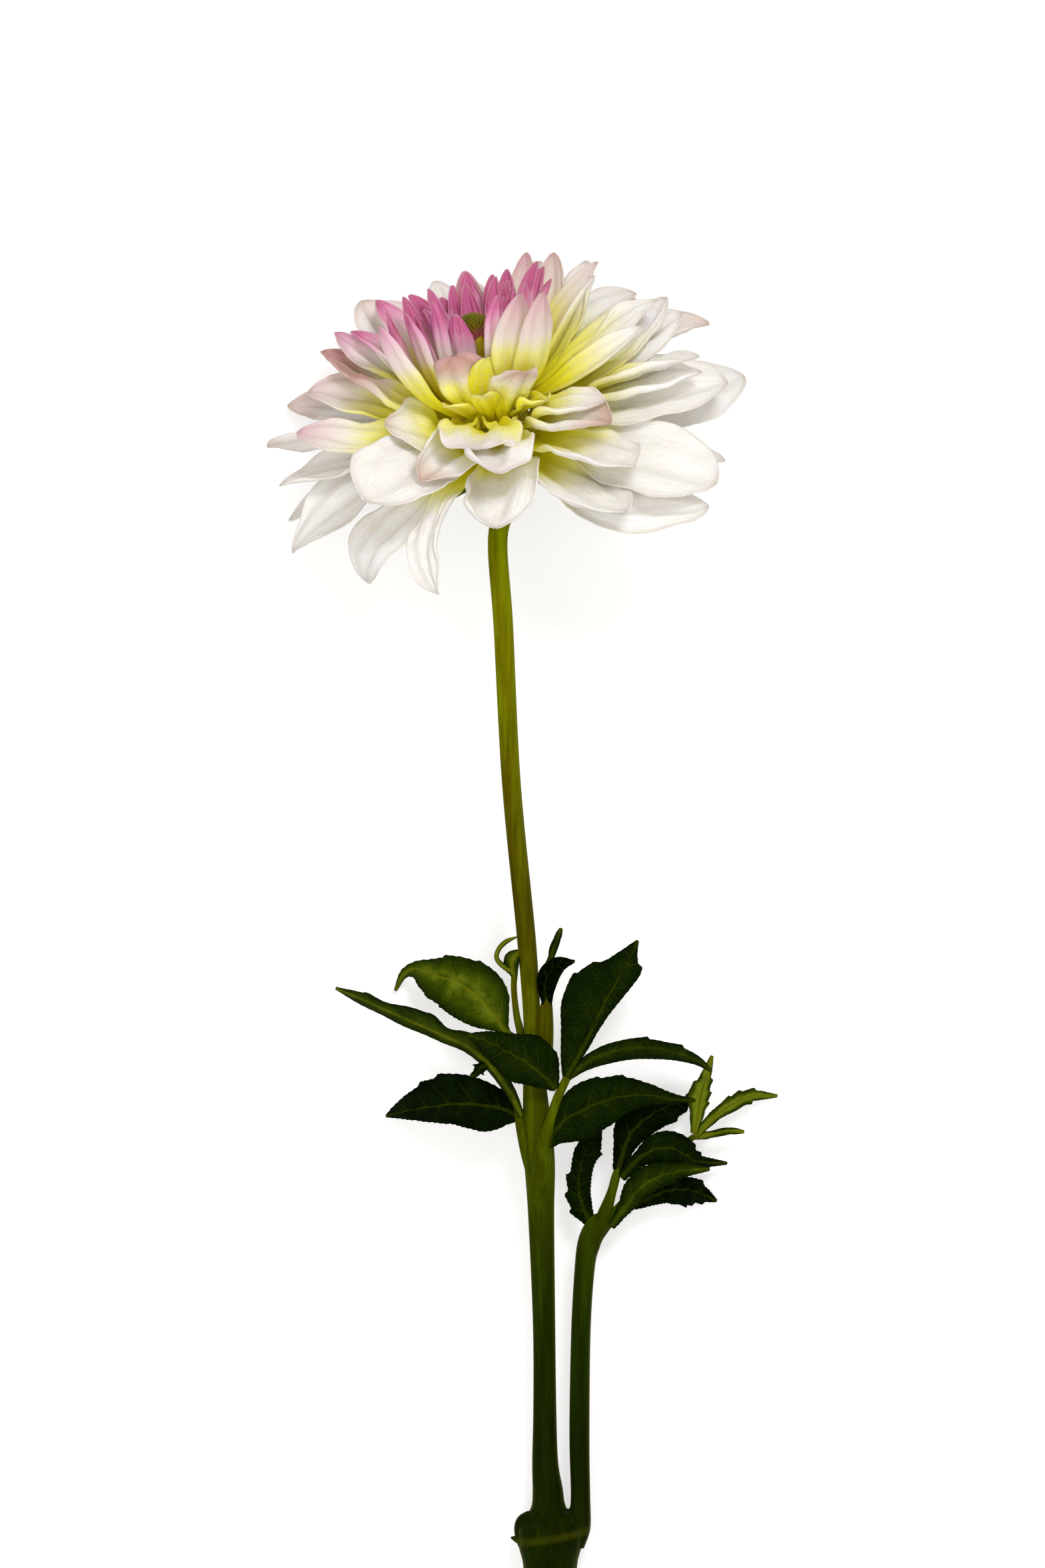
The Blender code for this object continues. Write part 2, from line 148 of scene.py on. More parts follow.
flesh, tree, shader = surface("receptacle_flesh", 0.55, 0.3, subsurface=0.2)
grain = noise(tree, in_metres(tree), 900)
yellow = ramp(tree, grain, [(0.3, (0.50, 0.47, 0.01)), (0.7, (0.66, 0.60, 0.03))])
green = ramp(tree, grain, [(0.3, (0.14, 0.19, 0.01)), (0.7, (0.26, 0.30, 0.02))])
place = node(tree, "ShaderNodeSeparateXYZ", {0: in_metres(tree)}).outputs
front = rise(tree, place["Y"], 127 * MM, 135 * MM)
finish_skin(tree, shader, blend(tree, front, green, yellow), grain, 0.2 * MM)
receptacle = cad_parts["receptacle"]
receptacle.data.materials.clear()
receptacle.data.materials.append(flesh)

# ---------------------------------------------------------------- ray florets
# Each floret is one soft blade, about a third of a millimetre thick, that opens from a narrow
# claw. The rows are laid from the outermost inwards, each blade resting clear of its neighbours.
HEAD_CENTRE = np.array([-7.3, 134.9, 44.0])  # middle of the receptacle
PETAL_ROWS, PETAL_COLUMNS = 44, 24
PETAL_WALL = 0.35
CLAW_WIDTH = 5.0
CLAW_CUP = 24  # how much further a claw's edges turn up than the blade's
WIDEST = 0.6  # share of the length at which a blade is widest
CROWDING = 1.25  # above 1, the grid's rows crowd towards the tip
LOWEST = 1.0  # height of the lowest points, before furrows and crinkle
FLOOR_BEND = 12.0  # height over which a blade that meets the surface turns to lie along it
CLEARANCE = 0.9  # a blade this thick has to clear those laid before it
LIFTS = (0, 1.5, -1.5, 3, -3, 4.5, -4.5, 6, -6, 8, -8, 10, -10)  # tried in this order
MOST_TURN = 25  # a lift may turn a floret this far about the head's axis


def unit(vector):
    return vector / np.linalg.norm(vector)


def smooth(x):
    x = np.clip(x, 0.0, 1.0)
    return x * x * (3 - 2 * x)


AXIS = unit(np.array([-0.20, 0.884, 0.423]))  # the way the bloom faces
UPPER = unit(np.array([0, 0, 1.0]) - AXIS[2] * AXIS)
ACROSS = np.cross(AXIS, UPPER)


@dataclass
class Ring:
    """Where a row grows: height along the axis and radius. cup is how far the blades' edges turn
    up, and rest the height they settle at."""

    height: float
    radius: float
    cup: float
    rest: float


RINGS = {
    0: Ring(-7.2, 8.6, 10, 3.0),
    1: Ring(-4.2, 11.0, 26, 0.4),
    2: Ring(-1.6, 11.2, 28, 0.4),
    3: Ring(1.0, 10.9, 32, 1.8),
    4: Ring(3.4, 10.1, 38, 3.2),
    5: Ring(5.8, 9.2, 44, 4.6),
    6: Ring(7.6, 8.6, 46, 6.0),
    7: Ring(8.6, 7.4, 52, 6.0),
    8: Ring(9.4, 6.0, 58, 6.0),
}


@dataclass
class Floret:
    """azimuth turns about the head's axis, from its upper side (0) to +X (90). lean is the blade's angle
    from the axis and arch the change in lean along it. roll and twist turn it about its midrib, sway
    bends it sideways and curl bends its last third back. blunt is how full the tip is. lip rolls one edge
    over and furl both, and ruffle is how far they wave. blush is how pink it is, dusty how much of that
    pink is painted over with a dull mauve that stands in for shade on a blade in shadow, and glow how far
    yellow reaches."""

    azimuth: float
    lean: float
    length: float
    width: float
    arch: float = 16
    roll: float = 0
    twist: float = 0
    sway: float = 0
    curl: float = 0
    blunt: float = 2.4
    lip: float = 0
    furl: float = 0
    ruffle: float = 1.1
    blush: float = 0.1
    dusty: float = 0
    glow: float = 0.45


def grid_marks(rows, columns):
    """Where a blade's grid has its rows, from claw (0) to tip (1), and columns, from -1 to 1."""
    return 1 - (1 - np.linspace(0, 1, rows + 1)) ** CROWDING, np.linspace(-1, 1, columns + 1)


def floret_width(floret, u):
    """A claw that opens into the blade and closes to a rounded tip."""
    claw = CLAW_WIDTH / floret.width
    opening = claw + (1 - claw) * smooth(u / WIDEST)
    closing = 1 - 0.995 * max(0.0, (u - WIDEST) / (1 - WIDEST)) ** floret.blunt
    return floret.width * opening * closing**0.72


def floret_section(floret, ring, u, v):
    """Across a blade at a share of its length: how far sideways and how high its points lie."""
    tilt = (RINGS[ring].cup + CLAW_CUP * (1 - smooth(2.5 * u))) * v
    tilt = tilt + floret.furl * smooth(1.8 * u - 0.5) * v * np.abs(v)
    edge = np.sign(floret.lip) * v
    rolled = np.clip((edge - 0.35) / 0.65, 0, 1) ** 1.4 * np.sign(v)
    tilt = np.radians(tilt + abs(floret.lip) * rolled * smooth(3 * u - 0.3))
    # Equal steps from edge to edge, each at its own tilt, and measured from the midrib.
    step = floret_width(floret, u) / (len(v) - 1)
    x = np.concatenate([[0], np.cumsum((np.cos(tilt[1:]) + np.cos(tilt[:-1])) / 2)]) * step
    z = np.concatenate([[0], np.cumsum((np.sin(tilt[1:]) + np.sin(tilt[:-1])) / 2)]) * step
    x, z = x - x[len(v) // 2], z - z[len(v) // 2]
    phase = floret.azimuth * 0.7 + ring
    waves = np.sin(9 * u + phase + 1.4 * v) + 0.6 * np.sin(17 * u - 2 * phase - v)
    z = z + floret.ruffle * np.abs(v) ** 2.5 * waves * smooth(3 * u) * smooth(5 - 5 * u)
    uneven = np.sin(8 * u + 2 * phase + 2.2 * np.sign(v)) + np.sin(19 * u + phase * np.sign(v))
    return x * (1 + 0.035 * uneven * np.abs(v)), z


def floret_points(floret, ring, rows, columns):
    """The middle surface of a floret, as rows of points in mm."""
    base = RINGS[ring]
    turn = math.radians(floret.azimuth)
    outwards = math.cos(turn) * UPPER + math.sin(turn) * ACROSS
    sideways = np.cross(AXIS, outwards)
    # A steep claw starts a little further out, so that its wall stays clear of the crown.
    gap = abs(math.cos(math.radians(floret.lean - floret.arch / 2))) * 0.4 + 0.3
    point = HEAD_CENTRE + AXIS * base.height + outwards * (base.radius + gap)
    marks, v = grid_marks(rows, columns)
    points, last_u, last_way = [], 0.0, None
    for u in marks:
        lean = math.radians(floret.lean + floret.arch * (u - 0.5) + floret.curl * smooth(3 * u - 2))
        way = math.cos(lean) * AXIS + math.sin(lean) * outwards
        sway = math.radians(floret.sway * (2 * u - 1))
        way = math.cos(sway) * way + math.sin(sway) * sideways
        steepest = -max(point[2] - base.rest, 0) / FLOOR_BEND
        if way[2] < steepest:
            level = unit(way[:2]) * math.sqrt(1 - min(1.0, steepest**2))
            way = np.array([level[0], level[1], steepest])
        if last_way is not None:
            point = point + unit(way + last_way) * (u - last_u) * floret.length
        last_u, last_way = u, way
        across = unit(sideways - (sideways @ way) * way)
        face = np.cross(way, across)
        turned = math.radians(floret.roll * smooth(2 * u) + floret.twist * u * u)
        across, face = (
            math.cos(turned) * across + math.sin(turned) * face,
            math.cos(turned) * face - math.sin(turned) * across,
        )
        x, z = floret_section(floret, ring, u, v)
        points.append(point + np.outer(x, across) + np.outer(z, face))
    points = np.array(points)
    points[..., 2] = np.maximum(points[..., 2], LOWEST)
    return points


def floret_body(floret, ring, thickness):
    """A search tree of the blade beyond its claw, for finding overlaps with others."""
    points = floret_points(floret, ring, 12, 8)[3:]
    normals = np.cross(np.gradient(points, axis=0), np.gradient(points, axis=1))
    normals /= np.linalg.norm(normals, axis=2, keepdims=True) + 1e-9
    shells = [points + normals * thickness / 2, points - normals * thickness / 2]
    rows, columns = points.shape[:2]
    faces = []
    for start in (0, rows * columns):
        for row in range(rows - 1):
            for column in range(columns - 1):
                corner = start + row * columns + column
                faces.append((corner, corner + 1, corner + columns + 1, corner + columns))
    corners = np.concatenate([shell.reshape(-1, 3) for shell in shells])
    return BVHTree.FromPolygons(corners.tolist(), faces)


def mesh_object(name, built):
    """A new object with the mesh that was built."""
    data = bpy.data.meshes.new(name)
    built.to_mesh(data)
    built.free()
    return add_object(name, data)


def sheet_object(name, sheets):
    """One object of several bent grids. sheets holds (points in mm, {attribute: values})."""
    joined = bmesh.new()
    layers = {key: joined.verts.layers.float.new(key) for key in sheets[0][1]}
    for points, values in sheets:
        rows, columns = points.shape[0] - 1, points.shape[1] - 1
        made = bmesh.ops.create_grid(joined, x_segments=columns, y_segments=rows, size=1)
        for corner in made["verts"]:
            row = round((corner.co.y + 1) / 2 * rows)
            column = round((corner.co.x + 1) / 2 * columns)
            corner.co = points[row, column] * MM
            for key, layer in layers.items():
                value = values[key]
                corner[layer] = value[row, column] if np.ndim(value) else value
    return mesh_object(name, joined)


def geometry_tree(name, sizes):
    """A new tree with Geometry in and out, a named input for each size, and one for the skin."""
    tree = bpy.data.node_groups.new(name, "GeometryNodeTree")
    tree.interface.new_socket("Geometry", in_out="INPUT", socket_type="NodeSocketGeometry")
    for size, value in sizes.items():
        kind = "NodeSocketInt" if isinstance(value, int) else "NodeSocketFloat"
        tree.interface.new_socket(size, in_out="INPUT", socket_type=kind).default_value = value
    tree.interface.new_socket("Skin", in_out="INPUT", socket_type="NodeSocketMaterial")
    tree.interface.new_socket("Geometry", in_out="OUTPUT", socket_type="NodeSocketGeometry")
    return tree, node(tree, "NodeGroupInput").outputs


def close_tree(tree, geometry, skin):
    """Ends a tree in Realize Instances and Set Material."""
    real = node(tree, "GeometryNodeRealizeInstances", {0: geometry}).outputs[0]
    painted = node(tree, "GeometryNodeSetMaterial", {0: real, "Material": skin}).outputs[0]
    node(tree, "NodeGroupOutput", {0: painted})


def grown(source, tree, skin, **sizes):
    """Runs a geometry tree on an object and returns the result as a smooth, plain mesh."""
    growth = source.modifiers.new("growth", "NODES")
    growth.node_group = tree
    for item in tree.interface.items_tree:
        if item.in_out == "INPUT" and item.name == "Skin":
            growth[item.identifier] = skin
        elif item.in_out == "INPUT" and item.name in sizes:
            growth[item.identifier] = sizes[item.name]
    bpy.context.view_layer.update()
    evaluated = source.evaluated_get(bpy.context.evaluated_depsgraph_get())
    data = bpy.data.meshes.new_from_object(evaluated)
    data.shade_smooth()
    name = source.name
    bpy.data.objects.remove(source)
    data.name = name
    return add_object(name, data)


def moved_out(tree, geometry, depth):
    """Moves each point this far along its normal."""
    normal = node(tree, "GeometryNodeInputNormal").outputs[0]
    offset = node(tree, "ShaderNodeVectorMath", {0: normal, "Scale": depth}, operation="SCALE")
    inputs = {0: geometry, "Offset": offset.outputs[0]}
    return node(tree, "GeometryNodeSetPosition", inputs).outputs[0]


def read_back(tree, name):
    """Inside a geometry tree, a number stored at each point."""
    return node(tree, "GeometryNodeInputNamedAttribute", {0: name}).outputs[0]


# A blade gets lengthwise furrows, a fine crinkle and its thickness.
blade_tree, given = geometry_tree(
    "blade", {"Wall": PETAL_WALL * MM, "Furrows": 2.5, "Furrow Depth": 0.0, "Crinkle": 0.0}
)
tree = blade_tree
along, across = read_back(tree, "along"), read_back(tree, "across")
angle = number(tree, "MULTIPLY", number(tree, "MULTIPLY", across, given["Furrows"]), math.pi)
depth = number(tree, "MULTIPLY", number(tree, "COSINE", angle), given["Furrow Depth"])
fading = rise(tree, along, 0.8, 1.0, 1.0, 0.0)
fading = number(tree, "MULTIPLY", rise(tree, along, 0.08, 0.4), fading)
depth = number(tree, "MULTIPLY", depth, fading)
where = node(tree, "GeometryNodeInputPosition").outputs[0]
crinkle = number(tree, "SUBTRACT", noise(tree, where, 160.0, 2.0), 0.5)
depth = number(tree, "ADD", depth, number(tree, "MULTIPLY", crinkle, given["Crinkle"]))
furrowed = moved_out(tree, given["Geometry"], depth)
back = node(tree, "GeometryNodeFlipFaces", {0: furrowed}).outputs[0]
inputs = {0: furrowed, "Offset Scale": given["Wall"], "Individual": False}
wall = node(tree, "GeometryNodeExtrudeMesh", inputs)
joined = node(tree, "GeometryNodeJoinGeometry")
tree.links.new(wall.outputs[0], joined.inputs[0])
tree.links.new(back, joined.inputs[0])
closed = node(tree, "GeometryNodeMergeByDistance", {0: joined.outputs[0], "Distance": 1e-6})
close_tree(tree, closed.outputs[0], given["Skin"])

# Lemon at the claw, then cream and white, with pink running down from the tip in streaks.
petal_skin, tree, shader = surface(
    "petal_skin", 0.5, 0.12, subsurface=0.35, depth=2 * MM, spread=(1.0, 0.85, 0.4)
)
along, across = attribute(tree, "along"), attribute(tree, "across")
blush, glow, seed = (attribute(tree, key) for key in ("blush", "glow", "seed"))
wide = number(tree, "MULTIPLY", across, attribute(tree, "half"))
inputs = {0: wide, 1: number(tree, "MULTIPLY", along, 3.0), 2: seed}
lengthwise = node(tree, "ShaderNodeCombineXYZ", inputs).outputs[0]
streaks = noise(tree, lengthwise, 1.1, 3.0)
fine = noise(tree, lengthwise, 3.2, 2.0)
share = number(tree, "DIVIDE", along, glow)
share = number(tree, "MULTIPLY_ADD", streaks, 0.3, share)
colour = ramp(
    tree,
    number(tree, "SUBTRACT", share, 0.15, clamp=True),
    [
        (0.10, (0.82, 0.72, 0.003)),
        (0.40, (0.91, 0.85, 0.03)),
        (0.62, (0.95, 0.91, 0.28)),
        (0.82, (0.96, 0.94, 0.68)),
        (1.00, (0.96, 0.945, 0.90)),
    ],
)
lines = number(tree, "MULTIPLY", rise(tree, fine, 0.5, 0.68), 0.42)
lines = number(tree, "MULTIPLY", lines, rise(tree, along, 0.2, 0.6))
colour = blend(tree, lines, colour, (0.86, 0.69, 0.67))
reach = number(tree, "SUBTRACT", 0.80, number(tree, "MULTIPLY", blush, 0.50))
mask = number(tree, "DIVIDE", number(tree, "SUBTRACT", along, reach), 0.45, clamp=True)
mask = number(tree, "MULTIPLY", mask, number(tree, "MULTIPLY_ADD", streaks, 0.8, 0.6))
mask = number(tree, "MULTIPLY", mask, number(tree, "MULTIPLY", blush, 1.6, clamp=True), clamp=True)
pink = ramp(
    tree,
    mask,
    [
        (0.0, (0.94, 0.89, 0.84)),
        (0.35, (0.89, 0.73, 0.70)),
        (0.6, (0.82, 0.49, 0.62)),
        (0.8, (0.76, 0.31, 0.51)),
        (1.0, (0.62, 0.14, 0.34)),
    ],
)
# Painted shade: the mauve share turns a blade's pink to a dull mauve, standing in for the shade on blades
# that lie in shadow.
mauve = blend(tree, rise(tree, mask, 0.0, 0.6), (0.85, 0.76, 0.70), (0.57, 0.34, 0.30))
pink = blend(tree, attribute(tree, "dusty"), pink, mauve)
colour = blend(tree, rise(tree, mask, 0.0, 0.3), colour, pink)
# A thin tan rim where the blade has begun to dry.
edge = number(tree, "MAXIMUM", number(tree, "ABSOLUTE", across), along)
dry = number(tree, "MULTIPLY", rise(tree, edge, 0.955, 1.0), rise(tree, streaks, 0.35, 0.6))
colour = blend(tree, number(tree, "MULTIPLY", dry, 0.45), colour, (0.58, 0.42, 0.33))
grain = number(tree, "MULTIPLY_ADD", streaks, 2.0, fine)
finish_skin(tree, shader, colour, grain, 0.22 * MM, strength=0.8)


def floret_sheet(floret, ring):
    """A floret's points, and the attributes its skin reads."""
    points = floret_points(floret, ring, PETAL_ROWS, PETAL_COLUMNS)
    marks, v = grid_marks(PETAL_ROWS, PETAL_COLUMNS)
    across, along = np.meshgrid(v, marks)
    seed = (floret.azimuth * 0.37 + ring * 5.1) % 40  # so that no two have the same streaks
    values = {"along": along, "across": across, "half": floret.width / 2, "seed": seed}
    values.update(blush=floret.blush, dusty=floret.dusty, glow=floret.glow)
    return points, values


F = Floret  # short, for the tables
RAY_FLORETS = {
    1: [
        F(-26, 110, 52, 13, arch=32, roll=14, sway=35, blunt=1.4, furl=25, twist=25),
        F(-69, 114, 46, 17, arch=14, roll=-10, sway=-19, blunt=3, curl=60, furl=10),
        F(-96, 111, 56, 23, arch=34, roll=-16, sway=16, blunt=1.5),
        F(-108, 95, 53, 13, arch=14, furl=30, blush=0.15),
        F(-115, 109, 60, 10, arch=25, roll=-18, sway=3, furl=20, blush=0.15, dusty=0.7),
        F(-9, 103, 31, 27, arch=57, roll=16, sway=-20, lip=-130, blunt=3),
        F(53, 105, 60, 17, arch=-20, roll=20, sway=42, blunt=3.2, furl=-20),
        F(125, 112, 50, 18, arch=14),
        F(-155, 124, 50, 18, arch=10),
        F(92, 112, 52, 18, arch=8),
        F(168, 120, 46, 18, arch=8),
    ],
    2: [
        F(-116, 90, 58, 19, arch=8, roll=40, sway=-8, blush=0.25, dusty=0.3),
        F(-135, 89, 62, 18, arch=16, roll=-6, blush=0.3, dusty=0.4),
        F(-46, 82, 43, 27, arch=38, roll=-24, sway=-6, blunt=3, ruffle=0.5, blush=0.15),
        F(-33, 76, 33, 17, arch=57, roll=-16, sway=-18, lip=-110, ruffle=2, blush=0.3, dusty=1, glow=0.7),
        F(28, 98, 50, 23, arch=-6, roll=-15, sway=13, blunt=2.8, glow=0.55),
        F(57, 103, 55, 26, arch=12, roll=20, blunt=3, ruffle=0.6),
        F(94, 90, 59, 20, arch=-11, roll=33, sway=17, blunt=2.8, glow=0.55),
        F(160, 96, 54, 18, arch=4),
        F(-160, 94, 50, 18, arch=4),
        F(128, 94, 54, 18, arch=4),
    ],
    3: [
        F(-112, 85, 47, 16, arch=-3, roll=-12, sway=-27, blunt=2.8, blush=0.4, glow=0.8),
        F(-121, 75, 46, 20, arch=19, roll=-10, sway=4, blush=0.35, glow=0.9),
        F(-135, 69, 50, 12, arch=13, sway=-10, blush=0.55, dusty=0.8, glow=0.85),
        F(-72, 56, 24, 25, arch=14, roll=-24, sway=-22, blunt=1.6, furl=-30, blush=0.25, dusty=0.6,
          glow=0.8),
        F(-149, 56, 50, 17, arch=11, sway=-13, blunt=3, blush=0.25, dusty=0.5),
        F(37, 91, 45, 23, arch=11, roll=-9, sway=6, blunt=3, ruffle=1.1, glow=0.7),
        F(79, 86, 54, 24, arch=7, roll=20, sway=7, blunt=3, ruffle=0.6),
        F(104, 76, 56, 13, arch=16, roll=22, sway=-9, curl=20, furl=30, dusty=0.6, blush=0.25),
        F(-3, 86, 25, 21, arch=46, roll=-4, blunt=4, furl=-20, lip=-90, ruffle=1.6, blush=0.2, glow=0.75),
        F(150, 84, 50, 18, arch=6),
        F(178, 82, 46, 18, arch=6),
    ],
    4: [
        F(-14, 76, 22, 22, arch=44, roll=-10, blunt=4, furl=-50, blush=0.25, glow=0.9, ruffle=2.2),
        F(39, 79, 38, 18, arch=16, roll=8, sway=7, lip=-70, blush=0.35, dusty=1, glow=0.65),
        F(45, 71, 35, 12, arch=40, roll=18, sway=20, lip=-40, blush=0.2, dusty=1, glow=0.85),
        F(-100, 53, 33, 12, arch=5, roll=-5, sway=-16, lip=70, blush=0.45, dusty=0.8, glow=0.95),
        F(-128, 57, 45, 13, arch=11, roll=11, sway=-14, blush=0.5, glow=0.8),
        F(71, 75, 52, 15, arch=15, roll=-12, blunt=2.8, ruffle=0.6, glow=0.8),
        F(71, 80, 51, 14, arch=7, roll=7, sway=9, lip=-60, blush=0.15, glow=0.7),
        F(111, 78, 51, 16, arch=6, roll=30, sway=12, ruffle=0.7, blush=0.15),
        F(150, 70, 46, 17, arch=6, blush=0.2),
        F(178, 66, 42, 17, arch=6, blush=0.2),
        F(-160, 66, 44, 17, arch=6, blush=0.2),
    ],
    5: [
        F(116, 76, 54, 14, arch=-13, roll=17, sway=38, ruffle=0.6, blush=0.15, glow=0.8),
        F(124, 74, 48, 18, arch=23, roll=3, sway=-14, blunt=3, blush=0.2, glow=0.8),
        F(132, 55, 46, 12, arch=6, roll=4, sway=27, blush=0.2, glow=0.8),
        F(-22, 18, 27, 16, arch=14, roll=14, sway=2, blunt=3, blush=0.5, dusty=0.7, glow=0.95),
        F(19, 45, 31, 13, arch=14, roll=-24, sway=6, blunt=3, lip=40, blush=0.35, dusty=0.9, glow=0.9),
        F(-169, 46, 39, 10, arch=16, blunt=3, blush=0.15, dusty=0.4),
        F(90, 62, 46, 14, arch=8, glow=0.8, blush=0.1),
        F(152, 56, 44, 14, arch=8, blush=0.2, glow=0.8),
        F(178, 54, 40, 14, arch=8, blush=0.25, glow=0.8),
        F(-148, 54, 42, 13, arch=8, blush=0.3, glow=0.8),
        F(-24, 66, 15, 9, arch=30, glow=1.6, blush=0.0),
        F(4, 68, 16, 10, arch=30, glow=1.6, blush=0.0),
        F(38, 62, 18, 9, arch=30, glow=1.6, blush=0.0),
    ],
}


def raised(floret, ring, lift):
    """The floret with its tip this much higher, and its outline from above kept."""
    points = floret_points(floret, ring, 8, 2)
    before = points[-1, 1] - points[0, 1]
    after = before + (0, 0, lift)
    turns = [math.degrees(math.atan2(way @ ACROSS, way @ UPPER)) for way in (before, after)]
    leans = [math.degrees(math.acos(unit(way) @ AXIS)) for way in (before, after)]
    turn = (turns[1] - turns[0] + 180) % 360 - 180
    scale = np.linalg.norm(after) / np.linalg.norm(before)
    return replace(
        floret,
        azimuth=floret.azimuth + turn,
        lean=floret.lean + leans[1] - leans[0],
        length=floret.length * scale,
    )


laid = []  # a body for each floret that is in place


def lay_clear(floret, ring):
    """The floret, raised or lowered as little as it takes to be clear of those already laid."""
    best, fewest = floret, None
    for lift in LIFTS:
        tried = raised(floret, ring, lift)
        if abs(tried.azimuth - floret.azimuth) > MOST_TURN:
            continue
        body = floret_body(tried, ring, CLEARANCE)
        met = sum(len(body.overlap(other)) for other in laid)
        if fewest is None or met < fewest:
            best, fewest = tried, met
        if met == 0:
            break
    return best


def lay_row(florets, ring):
    """Lays florets one after the other and returns their sheets."""
    sheets = []
    for floret in florets:
        floret = lay_clear(floret, ring)
        laid.append(floret_body(floret, ring, PETAL_WALL))
        sheets.append(floret_sheet(floret, ring))
    return sheets


for ring, florets in RAY_FLORETS.items():
    source = sheet_object(f"ray_florets_row_{ring}", lay_row(florets, ring))
    sizes = {"Furrow Depth": 0.75 * MM, "Crinkle": 1.8 * MM}
    row = grown(source, blade_tree, petal_skin, **sizes)
    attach(row, "root")
    nodes = [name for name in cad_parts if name.startswith(f"petal_row{ring}_")]
    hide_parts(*nodes)

# ---------------------------------------------------------------- young florets
# The middle of the bloom: pink florets still folded lengthwise, standing on the crown around a
# small green bud of florets that haven't opened.
YOUNG_FLORETS = {
    6: [
        F(111, 69, 43, 9, arch=4, roll=10, sway=22, blush=0.25, dusty=0.5, glow=1.0),
        F(71, 63, 43, 11, arch=-4, roll=23, sway=17, blush=0.0, glow=0.9, blunt=2.6),
        F(147, 56, 46, 12, arch=7, roll=6, sway=28, blush=0.35, dusty=0.5, glow=0.9, blunt=2.4),
        F(150, 46, 42, 10, arch=14, roll=2, sway=13, blush=0.45, dusty=0.4, glow=0.9, blunt=2.4),
        F(31, 24, 43, 14, arch=-17, roll=2, sway=4, blush=0.45, dusty=0.3, glow=0.95, blunt=2.4),
        F(37, 31, 47, 13, arch=-40, roll=-8, sway=3, blush=0.45, dusty=0.4, glow=0.95, blunt=2.4),
        F(-67, 27, 40, 13, arch=-58, roll=8, blush=0.5, glow=0.95),
        F(-63, 14, 36, 12, arch=-35, roll=7, sway=-5, blush=0.6, glow=0.9),
        F(-140, 46, 39, 11, arch=11, roll=-3, sway=-14, blush=0.6, glow=0.8),
        F(-156, 46, 34, 10, arch=16, blush=0.3, glow=0.9),
        F(-118, 48, 36, 11, arch=8, blush=0.6, glow=0.8),
        F(90, 40, 40, 13, arch=8, blush=0.2, glow=0.95),
        F(118, 50, 42, 12, arch=8, blush=0.3, glow=0.95),
        F(178, 44, 37, 11, arch=10, blush=0.5, glow=0.9),
        F(-104, 22, 36, 9, arch=-50, roll=-7, sway=-5, blush=0.8, glow=0.9),
        F(4, 26, 25, 13, arch=-10, blush=0.0, glow=1.9),
        F(-34, 50, 16, 8, arch=20, blush=0.0, glow=1.6),
        F(-6, 46, 17, 8, arch=20, blush=0.0, glow=1.6),
        F(18, 44, 18, 8, arch=20, blush=0.0, glow=1.6),
    ],
    7: [
        F(-89, 12, 31, 7, arch=-26, roll=5, blush=0.9, glow=0.8),
        F(-130, 24, 34, 8, arch=-22, roll=-6, sway=-15, blush=0.95, glow=0.8),
        F(-151, 40, 34, 9, arch=19, roll=4, sway=4, blush=0.95, glow=0.8),
        F(14, 20, 42, 9, arch=-16, roll=3, sway=14, blush=0.65, glow=0.9),
        F(50, 19, 40, 8, arch=-20, roll=-4, sway=-10, blush=0.6, glow=0.85),
        F(152, 34, 34, 8, arch=15, sway=10, blush=0.95, glow=0.8),
        F(162, 31, 32, 8, arch=15, sway=6, blush=0.95, glow=0.8),
        F(176, 27, 34, 8, arch=16, blush=0.85, glow=0.8),
        F(-173, 27, 31, 6, arch=16, sway=-10, blush=0.9, glow=0.8),
        F(-159, 26, 32, 6, arch=15, sway=-10, blush=0.95, glow=0.8),
        F(-73, 2, 34, 9, arch=-28, roll=6, sway=4, blush=0.75, glow=0.8),
        F(90, 26, 35, 9, arch=8, blush=0.6, glow=0.85),
        F(118, 32, 36, 9, arch=8, blush=0.8, glow=0.85),
        F(138, 36, 36, 9, arch=8, blush=0.85, glow=0.8),
    ],
    8: [
        F(-29, 3, 30, 9, arch=9, roll=3, sway=13, blush=0.85, glow=0.8),
        F(-108, 12, 28, 6, arch=14, roll=-4, sway=-3, blush=1.0),
        F(62, 8, 31, 6, arch=4, blush=1.0),
        F(92, 12, 31, 6, arch=8, blush=1.0),
        F(120, 16, 31, 6, arch=8, blush=1.0),
        F(150, 18, 31, 7, arch=10, blush=1.0),
        F(178, 18, 30, 7, arch=12, blush=1.0),
        F(-150, 18, 29, 7, arch=12, blush=1.0),
        F(-128, 16, 28, 7, arch=12, blush=1.0),
    ],
}
def folded(floret):
    """A young floret: more pointed than an open one, with its edges turned up and hardly wavy."""
    return replace(floret, blunt=min(floret.blunt, 2.2) - 0.4, furl=20, ruffle=0.15)


sheets = []
for ring, florets in YOUNG_FLORETS.items():
    sheets += lay_row([folded(floret) for floret in florets], ring)
sizes = {"Furrow Depth": 0.3 * MM, "Crinkle": 0.5 * MM}
young = grown(sheet_object("young_florets", sheets), blade_tree, petal_skin, **sizes)
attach(young, "root")
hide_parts("inner_florets")

# ---------------------------------------------------------------- central bud
# The last florets, still shut: small green scales packed in a spiral on a low dome. The dome is
# the top of a solid cushion, which narrows down to the receptacle between the youngest florets.
BUD_HEIGHT = 30  # middle of the bud, along the head's axis
CUSHION_RADIUS, CUSHION_TOP, CUSHION_DEPTH = 4.3, 3.4, 20


def store(tree, geometry, name, value):
    """Inside a geometry tree, stores a number at each point."""
    inputs = {0: geometry, 2: name, 3: value}
    return node(tree, "GeometryNodeStoreNamedAttribute", inputs, domain="POINT").outputs[0]


